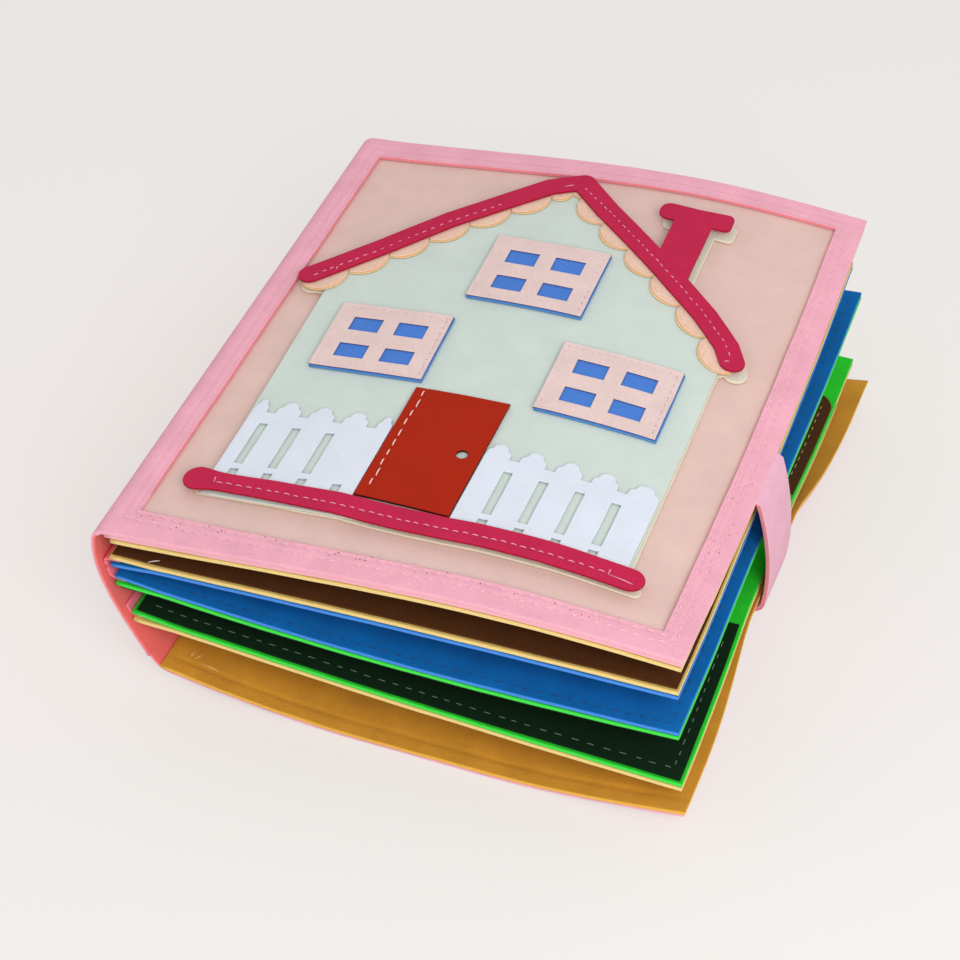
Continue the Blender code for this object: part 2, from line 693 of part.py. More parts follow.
def fold_along(bm, lines, axis):
    """Cuts the piece along those fold lines that cross it, and marks the folds as seams."""
    places = [vert.co[axis] for vert in bm.verts]
    low, high = min(places) + SEAM_GAP / 2, max(places) - SEAM_GAP / 2
    for line in lines:
        if low < line < high:
            point, normal = Vector(), Vector()
            point[axis] = line
            normal[axis] = 1
            geometry = bm.verts[:] + bm.edges[:] + bm.faces[:]
            cut = bmesh.ops.bisect_plane(bm, geom=geometry, dist=WELD_DISTANCE, plane_co=point,
                                         plane_no=normal)
            for element in cut["geom_cut"]:
                if isinstance(element, bmesh.types.BMEdge):
                    element.seam = True


def merge_flat_faces(bm):
    """Joins faces that lie in one plane, but not across a fold."""
    bmesh.ops.dissolve_limit(bm, angle_limit=math.radians(1), verts=bm.verts[:], edges=bm.edges[:],
                             delimit={"SEAM"})


def split_cells(bm):
    """Splits each whole cell of a cap the same way, so that layers bend alike."""
    for face in [face for face in bm.faces if len(face.verts) == 4 and abs(face.normal.z) > 0.5]:
        corners = sorted(face.verts, key=lambda vert: vert.co.x + vert.co.y)
        if not bm.edges.get((corners[0], corners[-1])):
            bmesh.utils.face_split(face, corners[0], corners[-1])


def felt_piece(name, surface, outlines, levels, colour, joint, side=None):
    """Cuts a piece of felt, lays it on a surface between two levels and hangs it on its joint."""
    mesh = flat_felt(name, outlines, levels[1] - levels[0], joint["collection"])
    bm = bmesh.new()
    bm.from_mesh(mesh)
    bmesh.ops.remove_doubles(bm, verts=bm.verts[:], dist=WELD_DISTANCE)
    bmesh.ops.recalc_face_normals(bm, faces=bm.faces[:])
    fold_along(bm, surface.across, 0)
    fold_along(bm, surface.along, 1)
    bmesh.ops.dissolve_degenerate(bm, dist=WELD_DISTANCE, edges=bm.edges[:])
    merge_flat_faces(bm)
    split_cells(bm)
    bmesh.ops.triangulate(bm, faces=bm.faces[:])
    middle = (levels[0] + levels[1]) / 2
    for vert in bm.verts:
        a, b, height = vert.co
        level = middle + height
        if side:
            level += side(a)
        vert.co = surface.place(a, b, level) - joint["pivot"]
    bm.to_mesh(mesh)
    bm.free()
    mesh.materials.clear()
    mesh.materials.append(felt_material(colour))
    mesh.shade_smooth()
    mesh.set_sharp_from_angle(angle=math.radians(30))
    piece = bpy.data.objects.new(name, mesh)
    joint["collection"].objects.link(piece)
    piece.parent = joint["empty"]
    return piece


def make_joint(name, pivot, collection, carrier=None):
    """An empty on a joint's axis, which carries the pieces that turn with it."""
    empty = bpy.data.objects.new(name, None)
    empty.empty_display_size = FELT
    collection.objects.link(empty)
    empty.location = pivot - carrier["pivot"] if carrier else pivot
    if carrier:
        empty.parent = carrier["empty"]
    return {"empty": empty, "pivot": pivot, "collection": collection}


def build_back_cover(joint):
    """Pink outer sheet, golden lining, and the loop patch that the strap holds on."""
    sheet = rectangle(FOLD_GAP, 0, BACK_WIDTH, COVER_HEIGHT)
    lining = rectangle(PANEL_SET_IN, 0, BACK_WIDTH, COVER_HEIGHT)
    felt_piece("back_cover_outer", BACK_SURFACE, [sheet], OUTER_LEVELS, "pink", joint)
    felt_piece("back_cover_lining", BACK_SURFACE, [lining], GOLD_LEVELS, "gold", joint)
    end = BACK_WIDTH - STRAP_BEND - PATCH_INSET
    start = BACK_WIDTH - STRAP_BEND - STRAP_TAIL + PATCH_INSET
    tail_middle = (STRAP_LINES[-1] + STRAP_LENGTH - STRAP_TAIL) / 2
    front = STRAP_FRONT + PATCH_INSET + STRAP_LEAN_SHARE * tail_middle
    loop = rectangle(start, front, end, front + STRAP_WIDTH - PATCH_INSET * 2)
    felt_piece("strap_loop_patch", BACK_SURFACE, [loop], LOOP_LEVELS, "hook", joint)


def build_spine(joint):
    """Spine sheet with the strips inside it that the leaves are sewn to."""
    panel = rectangle(FOLD_GAP, 0, SPINE_WIDTH - FOLD_GAP, COVER_HEIGHT)
    felt_piece("spine_panel", SPINE_SURFACE, [panel], STRAP_LEVELS, "pink", joint)
    for leaf in LEAVES:
        middle = SPINE_WIDTH * LEAF_SEAT_SHARES[leaf.index]
        strip = rectangle(middle - BINDING_STRIP / 2, LEAF_INSET, middle + BINDING_STRIP / 2,
                          COVER_HEIGHT - LEAF_INSET)
        levels = layer_below(STRAP_LEVELS[0], BINDING_FELT)
        felt_piece(f"binding_strip_{leaf.index + 1}", SPINE_SURFACE, [strip], levels, "binding", joint)


def build_leaf(leaf, front_colour, back_colour, joint):
    """Two sheets sewn back to back round a binding tab."""
    name = f"leaf_{leaf.index + 1}"
    low, high = LEAF_INSET, COVER_HEIGHT - LEAF_INSET
    sheet = rectangle(SHEET_START, low, leaf.width, high)
    tab = rectangle(0, low, BINDING_TAB, high)
    under = mirrored(CLOSED_LEVELS)
    felt_piece(f"{name}_binding", leaf.surface, [tab], TAB_LEVELS, "binding", joint)
    felt_piece(f"{name}_front", leaf.surface, [sheet], CLOSED_LEVELS, front_colour, joint, leaf.spread_up)
    felt_piece(f"{name}_back", leaf.surface, [sheet], under, back_colour, joint, leaf.spread_down)


def upper_panel(leaf, name, outline, colour, joint):
    """A thin panel sewn on a leaf's upper face."""
    felt_piece(name, leaf.surface, [outline], LEAF_PANEL_LEVELS, colour, joint, leaf.spread_up)


def lower_panel(leaf, name, outline, colour, joint):
    """A thin panel sewn on a leaf's lower face."""
    felt_piece(name, leaf.surface, [outline], mirrored(LEAF_PANEL_LEVELS), colour, joint, leaf.spread_down)


def build_leaves(joints):
    """The three leaves and the panels on them."""
    first, second, third = LEAVES
    build_leaf(first, "yellow", "blue", joints[0])
    build_leaf(second, "blue", "green", joints[1])
    build_leaf(third, "green", "yellow", joints[2])
    low, high = LEAF_INSET + TOP_PANEL_MARGIN, COVER_HEIGHT - LEAF_INSET - TOP_PANEL_MARGIN
    brown = rectangle(PANEL_START, low, first.width - TOP_PANEL_MARGIN, high)
    upper_panel(first, "leaf_1_brown_panel", brown, "brown", joints[0])
    low = LEAF_INSET + PANEL_MARGIN
    dark = rectangle(PANEL_START, low, second.width - PANEL_MARGIN, low + DARK_PANEL_DEPTH)
    lower_panel(second, "leaf_2_dark_panel", dark, "dark_green", joints[1])
    dark = rectangle(PANEL_START, low, third.width - PANEL_MARGIN, low + DARK_PANEL_DEPTH)
    upper_panel(third, "leaf_3_dark_panel", dark, "dark_green", joints[2])
    left, right = third.width * PATCH_WIDTH_SHARE, third.width - PATCH_MARGIN
    front, back = COVER_HEIGHT * PATCH_FRONT_SHARE, COVER_HEIGHT - PATCH_BACK_MARGIN
    corner = (right - PATCH_CORNER, back - PATCH_CORNER)
    patch = [(left, back), (left, front), (right, front)]
    patch += arc(corner, PATCH_CORNER, 0, math.pi / 2, ROUND_END_STEPS)
    upper_panel(third, "leaf_3_brown_patch", patch, "brown", joints[2])


def build_front_cover(joint):
    """Pink frame round the picture, the picture's ground and the lining."""
    sheet = rectangle(FOLD_GAP, 0, COVER_WIDTH, COVER_HEIGHT)
    opening = [
        (BORDER_SPINE, BORDER_FRONT), (COVER_WIDTH - BORDER_EDGE, BORDER_FRONT),
        (COVER_WIDTH - BORDER_EDGE, COVER_HEIGHT - BORDER_BACK_RIGHT),
        (BORDER_SPINE, COVER_HEIGHT - BORDER_BACK_LEFT)]
    panel = rectangle(PANEL_SET_IN, 0, COVER_WIDTH, COVER_HEIGHT)
    lining = rectangle(LINING_SET_IN, 0, COVER_WIDTH, COVER_HEIGHT)
    felt_piece("front_cover_frame", COVER_SURFACE, [sheet, opening], FRAME_LEVELS, "pink", joint)
    felt_piece("front_cover_panel", COVER_SURFACE, [panel], PANEL_LEVELS, "peach", joint)
    felt_piece("front_cover_lining", COVER_SURFACE, [lining], LINING_LEVELS, "yellow", joint)


def build_house(joint):
    """Walls, scalloped trim, roof with its chimney, ground bar and windows."""
    roof_top = with_chimney(bar_side(ROOF_PATH, ROOF_BAR / 2), 0)
    on_house = (
        ("house_backing", [house_backing_outline()], BACKING_LEVELS, "cream"),
        ("house_wall", [house_wall_outline()], WALL_LEVELS, "mint"),
        ("roof_trim", [roof_trim_outline()], TRIM_LEVELS, "apricot"),
        ("house_roof", [bar(ROOF_PATH, ROOF_BAR, roof_top)], TOP_LEVELS, "crimson"),
        ("ground_bar", [bar(GROUND_PATH, GROUND_BAR)], TOP_LEVELS, "crimson"),
    )
    for name, outlines, levels, colour in on_house:
        felt_piece(name, COVER_SURFACE, outlines, levels, colour, joint)
    for place in WINDOW_CENTRE_SHARES:
        backing = window_outlines(place, WINDOW_BACKING_SHOW)
        felt_piece(f"window_backing_{place}", COVER_SURFACE, backing, TRIM_LEVELS, "sky", joint)
        felt_piece(f"window_frame_{place}", COVER_SURFACE, window_outlines(place, 0), TOP_LEVELS, "pale_pink",
                   joint)


def build_fences(joint):
    """A fence on either side of the door."""
    wall = [on_cover(corner) for corner in WALL_CORNER_SHARES]
    door_left = COVER_WIDTH * DOOR_LEFT_SHARE
    door_right = door_left + DOOR_WIDTH
    left = fence_outlines(FENCE_LEFT_SLOT_SHARES, FENCE_LEFT_SLANT_SHARE, wall[0].x,
                          door_left - SEAM_GAP, FENCE_LEFT_SLOTS)
    right = fence_outlines(FENCE_RIGHT_SLOT_SHARES, FENCE_RIGHT_SLANT_SHARE, door_right + SEAM_GAP,
                           wall[2].x - SEAM_GAP, FENCE_RIGHT_SLOTS)
    felt_piece("fence_left", COVER_SURFACE, left, TRIM_LEVELS, "white", joint)
    felt_piece("fence_right", COVER_SURFACE, right, TRIM_LEVELS, "white", joint)


def build_door(cover_joint, door_joint):
    """Door flap with its finger hole, and the hem that it is sewn by."""
    left = COVER_WIDTH * DOOR_LEFT_SHARE
    fold = left + DOOR_HEM
    right = left + DOOR_WIDTH
    hem = door_outline(left, fold - DOOR_HINGE_GAP)
    felt_piece("door_hem", COVER_SURFACE, [hem], DOOR_LEVELS, "red", cover_joint)
    flap = door_outline(fold + DOOR_HINGE_GAP / 2, right)
    centre = (mix(left, right, DOOR_HOLE_CENTRE_SHARES[0]),
              COVER_HEIGHT * DOOR_BOTTOM_SHARE + DOOR_HEIGHT * DOOR_HOLE_CENTRE_SHARES[1])
    hole = arc(centre, DOOR_HOLE / 2, 0, 2 * math.pi, DOOR_HOLE_STEPS)[:-1]
    felt_piece("door_flap", COVER_SURFACE, [flap, hole], DOOR_LEVELS, "red", door_joint)


def build_strap(joint):
    """Strap that runs on from the cover's edge, with its hook patch."""
    low, high = STRAP_FRONT, STRAP_FRONT + STRAP_WIDTH
    end = STRAP_LENGTH - STRAP_CORNER
    outline = [(FOLD_GAP, high), (FOLD_GAP, low)]
    outline += arc((end, low + STRAP_CORNER), STRAP_CORNER, -math.pi / 2, 0, ROUND_END_STEPS)
    outline += arc((end, high - STRAP_CORNER), STRAP_CORNER, 0, math.pi / 2, ROUND_END_STEPS)
    felt_piece("closing_strap", STRAP_SURFACE, [outline], STRAP_LEVELS, "pink", joint)
    hook = rectangle(STRAP_LENGTH - STRAP_TAIL + PATCH_INSET, low + PATCH_INSET,
                     STRAP_LENGTH - PATCH_INSET, high - PATCH_INSET)
    felt_piece("strap_hook_patch", STRAP_SURFACE, [hook], HOOK_LEVELS, "hook", joint)


def door_axis_ends():
    """Lower and upper end of the line that the door turns on, on top of its felt."""
    fold = COVER_WIDTH * DOOR_LEFT_SHARE + DOOR_HEM
    bottom = COVER_HEIGHT * DOOR_BOTTOM_SHARE
    return [COVER_SURFACE.place(fold, b, DOOR_LEVELS[1]) for b in (bottom, bottom + DOOR_HEIGHT)]


def build():
    """Clears the scene and builds the whole book."""
    for old in list(bpy.data.objects):
        bpy.data.objects.remove(old, do_unlink=True)
    collection = bpy.data.collections.new(COLLECTION_NAME)
    bpy.context.scene.collection.children.link(collection)
    base = make_joint("book_origin", Vector((0, 0, 0)), collection)
    spine = make_joint("spine_pivot", SPINE_SURFACE.place(0, COVER_HEIGHT / 2, 0), collection, base)
    cover_axis = SPINE_SURFACE.place(SPINE_WIDTH, COVER_HEIGHT / 2, 0)
    cover = make_joint("front_cover_pivot", cover_axis, collection, spine)
    leaf_joints = [make_joint(f"leaf_{leaf.index + 1}_pivot", leaf.pivot, collection, spine)
                   for leaf in LEAVES]
    door_ends = door_axis_ends()
    door = make_joint("door_pivot", mix(door_ends[0], door_ends[1], 0.5), collection, cover)
    strap = make_joint("strap_pivot", STRAP_ROUTE[0], collection, cover)
    build_back_cover(base)
    build_spine(spine)
    build_leaves(leaf_joints)
    build_front_cover(cover)
    build_house(cover)
    build_fences(cover)
    build_door(cover, door)
    build_strap(strap)


build()
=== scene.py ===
"""Looks of the felt quiet book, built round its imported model.

Each piece of felt is cut flat with rounded edges, sewn along its seams, and bent onto the same surfaces as the
solids, in metres. Flat places are given as a, from the spine to the fore-edge, and b, from the front to the back.
"""

import math
import random

import bmesh
import bpy
import numpy as np
from mathutils import Matrix, Vector
from mathutils.geometry import interpolate_bezier


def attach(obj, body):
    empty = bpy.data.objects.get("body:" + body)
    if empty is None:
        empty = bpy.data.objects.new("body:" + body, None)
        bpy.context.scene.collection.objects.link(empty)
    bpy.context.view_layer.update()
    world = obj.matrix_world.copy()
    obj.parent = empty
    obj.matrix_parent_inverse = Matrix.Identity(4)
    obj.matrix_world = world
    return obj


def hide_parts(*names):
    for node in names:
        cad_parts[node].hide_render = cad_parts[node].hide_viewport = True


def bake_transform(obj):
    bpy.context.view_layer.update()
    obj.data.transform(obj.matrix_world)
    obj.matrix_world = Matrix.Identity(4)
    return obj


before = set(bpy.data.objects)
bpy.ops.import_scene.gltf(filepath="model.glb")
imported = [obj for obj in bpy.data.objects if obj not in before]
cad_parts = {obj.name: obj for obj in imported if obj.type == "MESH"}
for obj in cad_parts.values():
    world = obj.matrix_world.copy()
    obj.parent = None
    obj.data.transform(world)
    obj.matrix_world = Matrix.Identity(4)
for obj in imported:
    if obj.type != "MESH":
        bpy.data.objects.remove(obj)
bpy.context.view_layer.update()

# Camera and picture, 960 by 960
FOCAL_PIXELS = 2189.241
PICTURE_SIDE = 960
SENSOR = 36
CAMERA_AT = (0.20744, -0.52451, 0.51410)
CAMERA_RIGHT = (0.92809267, 0.37084793, -0.03340386)
CAMERA_UP = (-0.21943149, 0.61721251, 0.75557828)
CAMERA_BACK = (0.30082192, -0.69391680, 0.65420612)

# Felt
FELT = 0.0015
APPLIQUE = 0.001
THIN = 0.0008
GAP = 0.0003
ROUNDING = 0.00028
CELL = 0.005
WIDE_CELL = 0.006
CLOSE_CELL = 0.004
PATCH_CELL = 0.003
DENSE_CELL = 0.0022
FINE_CELL = 0.0006
CUT_MARGIN = 0.0004
MERGE = 0.00001
ACROSS_FELT = (-FELT / 2, FELT / 2)

# Book
WIDTH = 0.190
HEIGHT = 0.220
BACK_FOLD = (0.0135, 0.008)
BACK_EDGE = 0.1915
BACK_WIDTH = BACK_EDGE - BACK_FOLD[0]
REST_SHARES = (0.387, 0.636)
SPINE_WIDTH = 0.064
FOLD_RADIUS = 0.0045
BACK_LAP = 0.006

# Rise of the back cover at its spine and at its fore-edge, lift beside the strap, and how far that pulls the edge in
BACK_RISES = (0.008, 0.0068)
STRAP_LIFT = 0.0105
STRAP_PULL = 0.0026

# Front cover: heights of its spine and fore-edge and its crown, each at the front and the back; dip and shift
SPINE_HEIGHTS = (0.0655, 0.0749)
EDGE_HEIGHTS = (0.0734, 0.0793)
CROWNS = (0.0043, 0.0062)
DIP = 0.0073
COVER_START = 0.0008
COVER_SKEW = (0.0056, 0.004)
SPINE_BULGE = 0.006


def mix(start, end, share):
    """The value at a share of the way from start to end."""
    return start + (end - start) * share


def stack(*parts):
    """Points from their coordinates, which may be arrays or numbers."""
    return np.stack(np.broadcast_arrays(*[np.asarray(part, float) for part in parts]), axis=-1)


def smooth(t):
    """Smooth step from 0 to 1."""
    t = np.clip(t, 0, 1)
    return t * t * (3 - 2 * t)


def plateau(v):
    """Rises from nothing at either end to a flat middle, where the strap pulls."""
    return np.minimum(1, 1.4 * np.abs(np.sin(np.pi * np.clip(v, 0, 1) ** 0.9)) ** 4)


def back_height(u, v, lift=STRAP_LIFT):
    """Height of the back cover's underside, zero where it rests."""
    start = np.clip((REST_SHARES[0] - u) / REST_SHARES[0], 0, None)
    end = np.clip((u - REST_SHARES[1]) / (1 - REST_SHARES[1]), 0, None)
    return BACK_RISES[0] * start ** 1.7 + BACK_RISES[1] * end ** 1.7 + lift * plateau(v) * end ** 1.5


def back_book(a, b):
    """Underside of the back cover in the book's own coordinates."""
    u, v = np.asarray(a) / BACK_WIDTH, np.asarray(b) / HEIGHT
    fold = mix(*BACK_FOLD, v)
    edge = BACK_EDGE - STRAP_PULL * plateau(v)
    return stack(mix(fold, edge, u), b, back_height(u, v))


def cover_book(a, b):
    """Outer face of the front cover in the book's own coordinates."""
    u, v = np.asarray(a) / WIDTH, np.asarray(b) / HEIGHT
    span = np.clip(u, 0, None)
    spine, edge = mix(*SPINE_HEIGHTS, v), mix(*EDGE_HEIGHTS, v)
    crown = mix(*CROWNS, v) * np.sin(np.pi * span ** 1.4)
    dip = DIP * np.sin(np.pi * v) * span ** 3
    return stack(a - COVER_START - mix(*COVER_SKEW, u) * v, b, mix(spine, edge, u) + crown - dip)


def spine_book(a, b, upper_share=0.5):
    """Middle of the spine's felt in the book's own coordinates, its bulge partly moved to the upper half."""
    s = (np.asarray(a) / SPINE_WIDTH)[..., None]
    lower, upper = back_book(0 * a, b) + HALF_UP, cover_book(0 * a, b) - HALF_UP
    bulge = SPINE_BULGE * mix(4 * s * (1 - s), 6.75 * s * s * (1 - s), upper_share)
    return mix(lower, upper, s) - bulge * np.array([1, 0, 0])


ORIGIN = back_book(BACK_WIDTH * sum(REST_SHARES) / 2, HEIGHT / 2)
UP = np.array([0, 0, 1])
HALF_UP = UP * FELT / 2


def cover_point(a, b):
    return cover_book(a, b) - ORIGIN


def back_point(a, b):
    return back_book(a, b) - ORIGIN


def slopes(point, a, b, step=0.0004):
    """Unit normals of a surface, pointing to its outer side."""
    da = point(a + step, b) - point(a - step, b)
    db = point(a, b + step) - point(a, b - step)
    normal = np.cross(da, db)
    return normal / np.linalg.norm(normal, axis=-1, keepdims=True)


class Upright:
    """A surface whose layers are stacked straight up."""

    def __init__(self, point):
        self.point = point

    def place(self, a, b, level):
        return self.point(a, b) + stack(0, 0, level)


class Bent:
    """A surface whose layers are stacked along its normals."""

    def __init__(self, point):
        self.point = point

    def place(self, a, b, level):
        return self.point(a, b) + slopes(self.point, a, b) * np.asarray(level)[..., None]


def both(a, b):
    """Two arrays of one shape."""
    return np.broadcast_arrays(np.asarray(a, float), np.asarray(b, float))


def folded(a, reach, before, after, corner):
    """Points before and after a fold at a = 0, rounded off within its reach."""
    t = np.clip((a + reach) / (2 * reach), 0, 1)[..., None]
    turn = (1 - t) ** 2 * before + 2 * t * (1 - t) * corner + t ** 2 * after
    return np.where((np.abs(a) < reach)[..., None], turn, np.where((a < 0)[..., None], before, after))


def front_sheet_point(a, b):
    """Pink felt that is the spine below a = 0 and the front cover above."""
    a, b = both(a, b)
    on_spine = spine_book(SPINE_WIDTH + np.minimum(a, -FOLD_RADIUS), b)
    on_cover, corner = (cover_book(place, b) - HALF_UP for place in (np.maximum(a, FOLD_RADIUS), 0 * a))
    return folded(a, FOLD_RADIUS, on_spine, on_cover, corner) - ORIGIN


def back_sheet_point(c, b):
    """Pink felt that is the back cover below c = 0, fore-edge first, and the foot of the spine above."""
    c, b = both(c, b)
    on_back, corner = (back_book(place, b) + HALF_UP for place in (-np.minimum(c, -FOLD_RADIUS), 0 * c))
    on_spine = spine_book(np.maximum(c, FOLD_RADIUS), b)
    return folded(c, FOLD_RADIUS, on_back, on_spine, corner) - ORIGIN


class FrontSheet(Bent):
    """The front sheet: normals on the spine and fold, upright layers on the cover."""

    def place(self, a, b, level):
        a = np.asarray(a, float)
        blend = smooth((a - FOLD_RADIUS) / (3 * FOLD_RADIUS))[..., None]
        normal = mix(slopes(self.point, a, b), UP, blend)
        normal /= np.linalg.norm(normal, axis=-1, keepdims=True)
        return self.point(a, b) + normal * np.asarray(level)[..., None]


COVER = Upright(cover_point)
BACK = Upright(back_point)
FRONT_SHEET = FrontSheet(front_sheet_point)
BACK_SHEET = Bent(back_sheet_point)
SPINE = Bent(lambda a, b: spine_book(a, b) - ORIGIN)

# Leaves, from the top one down: seat on the spine, height of the free edge, width, sag and shift
SEATS = (0.757, 0.615, 0.344)
EDGE_FRONT = (0.811, 0.522, 0.146)
EDGE_BACK = (0.786, 0.596, 0.123)
LEAF_WIDTHS = (0.1866, 0.1864, 0.1839)
SAGS = (-0.001, 0.0035, 0.0015)
SHIFTS = (0, 0.0035, 0.0012)
GOLD_TOP = FELT + GAP + FELT
LINING_FOOT = -FELT - GAP - FELT - GAP - FELT
TAB = 0.004
EASE = 0.016
TAB_FELT = 0.001
BINDING_WIDTH = 0.0043
BINDING_TURN = 0.0014
PANEL_INSET = 0.0006
LEAF_LIFT = 0.007
LEAF_INSET = 0.0015
SEAM_INSET = 0.004
LEAF_FRONT, LEAF_BACK = LEAF_INSET, HEIGHT - LEAF_INSET


def leaf_axis(seat, b):
    """Line just inside the spine that a leaf turns on, in the book's own coordinates."""
    ends = []
    seat_line = SPINE_WIDTH * seat
    for end in (0, HEIGHT):
        rise = spine_book(seat_line + 0.00001, end, 0) - spine_book(seat_line - 0.00001, end, 0)
        inward = np.array([rise[2], 0, -rise[0]]) / math.hypot(rise[0], rise[2])
        depth = FELT / 2 + GAP + TAB_FELT + TAB_FELT / 2 + GAP
        ends.append(spine_book(seat_line, end, 0) + inward * depth)
    return mix(ends[0], ends[1], (np.asarray(b) / HEIGHT)[..., None])


class Leaf(Upright):
    """One leaf's middle surface, and how its binding tab spreads its two sheets."""

    def __init__(self, index):
        self.index = index
        self.name = f"leaf_{index + 1}"
        self.width = LEAF_WIDTHS[index]

    def point(self, a, b):
        u, v = np.asarray(a) / self.width, np.asarray(b) / HEIGHT
        axis = leaf_axis(SEATS[self.index], b)
        floor = back_height(1, v, LEAF_LIFT) + GOLD_TOP
        ceiling = cover_book(WIDTH, b)[..., 2] + LINING_FOOT
        edge = mix(floor, ceiling, mix(EDGE_FRONT[self.index], EDGE_BACK[self.index], v))
        height = mix(axis[..., 2], edge, u) - SAGS[self.index] * np.sin(np.pi * u)
        return stack(axis[..., 0] + a + SHIFTS[self.index] * u * v, b, height) - ORIGIN

    def spread(self, a):
        full = TAB_FELT / 2 + GAP / 2
        return full * np.clip((EASE - a) / (EASE - TAB), 0, 1)

    def spread_below(self, a):
        return -self.spread(a)


LEAVES = [Leaf(index) for index in range(3)]

# Strap
STRAP_WIDTH = 0.025
STRAP_FRONT = 0.0765
STRAP_LEAN = 0.18
STRAP_TAIL = 0.024
STRAP_BEND = 0.0035


def strap_route():
    """Middle line of the strap from the cover's edge to its end under the back cover, closely spaced."""
    middle = STRAP_FRONT + STRAP_WIDTH / 2
    edge = Vector(COVER.place(WIDTH + 0.0011, middle, -FELT / 2))
    low_edge = BACK.place(BACK_WIDTH, HEIGHT / 2, 0)
    low = Vector((low_edge[0] + 0.0013, edge.y, low_edge[2] + FELT))
    depth = GAP + THIN + GAP + FELT / 2 + GAP + THIN
    tail_line = BACK_WIDTH - STRAP_BEND
    tail = Vector(BACK.place(tail_line, HEIGHT / 2, -depth))
    tail.y = edge.y
    first, second = edge.lerp(low, 0.3), edge.lerp(low, 0.68)
    first.x, second.x = low.x + 0.0016, low.x + 0.0026
    below = Vector((low.x - 0.00045, edge.y, tail.z + STRAP_BEND / 2))
    beside = Vector(((tail.x + low.x) / 2, edge.y, tail.z + STRAP_BEND / 4))
    route = list(interpolate_bezier(edge, first, second, low, 33))
    route += list(interpolate_bezier(low, below, beside, tail, 17))[1:]
    lines = np.linspace(tail_line, tail_line - STRAP_TAIL, 13)[1:]
    under = BACK.place(lines, HEIGHT / 2 + 0 * lines, -depth + 0 * lines)
    route += [Vector((point[0], edge.y, point[2])) for point in under]
    ahead = (route[0] - route[1]).normalized()
    return [route[0] + Vector((-0.0026, 0, 0.0001)), route[0] + ahead * 0.0002 + Vector((-0.0012, 0, 0.0002))] + route


STRAP_ROUTE = np.array(strap_route())
STRAP_STEPS = np.linalg.norm(np.diff(STRAP_ROUTE, axis=0), axis=1)
STRAP_LINES = np.concatenate([[0], np.cumsum(STRAP_STEPS)]) - STRAP_STEPS[:2].sum()
STRAP_LENGTH = STRAP_LINES[-1]


def strap_point(a, b):
    a, b = both(a, b)
    x, z = (np.interp(a, STRAP_LINES, STRAP_ROUTE[:, axis]) for axis in (0, 2))
    return stack(x, b + STRAP_LEAN * np.maximum(a, 0) - ORIGIN[1], z)


STRAP = Bent(strap_point)


# Sockets of a mix node for colours
MIX_FIRST, MIX_SECOND, MIX_RESULT = 6, 7, 2
FIBRE_ANGLE = math.radians(38)


def linear(red, green, blue):
    """Scene colour of a screen colour given from 0 to 255."""
    def channel(value):
        value /= 255
        return value / 12.92 if value <= 0.04045 else ((value + 0.055) / 1.055) ** 2.4
    return (channel(red), channel(green), channel(blue), 1)


def shade(colour, factor):
    return (*(channel * factor for channel in colour[:3]), 1)


def new_node(tree, kind, inputs=None, **settings):
    """A new node with its settings and inputs; an input given as a socket is linked."""
    node = tree.nodes.new(kind)
    for name, value in settings.items():
        setattr(node, name, value)
    for name, value in (inputs or {}).items():
        if isinstance(value, bpy.types.NodeSocket):
            tree.links.new(value, node.inputs[name])
        else:
            node.inputs[name].default_value = value
    return node


def new_material(name, roughness):
    """A material's shader, node tree and flat coordinates of its piece."""
    material = bpy.data.materials.new(name)
    material.use_nodes = True
    tree = material.node_tree
    shader = tree.nodes["Principled BSDF"]
    shader.inputs["Roughness"].default_value = roughness
    return material, tree, shader, new_node(tree, "ShaderNodeUVMap", uv_map="flat").outputs[0]


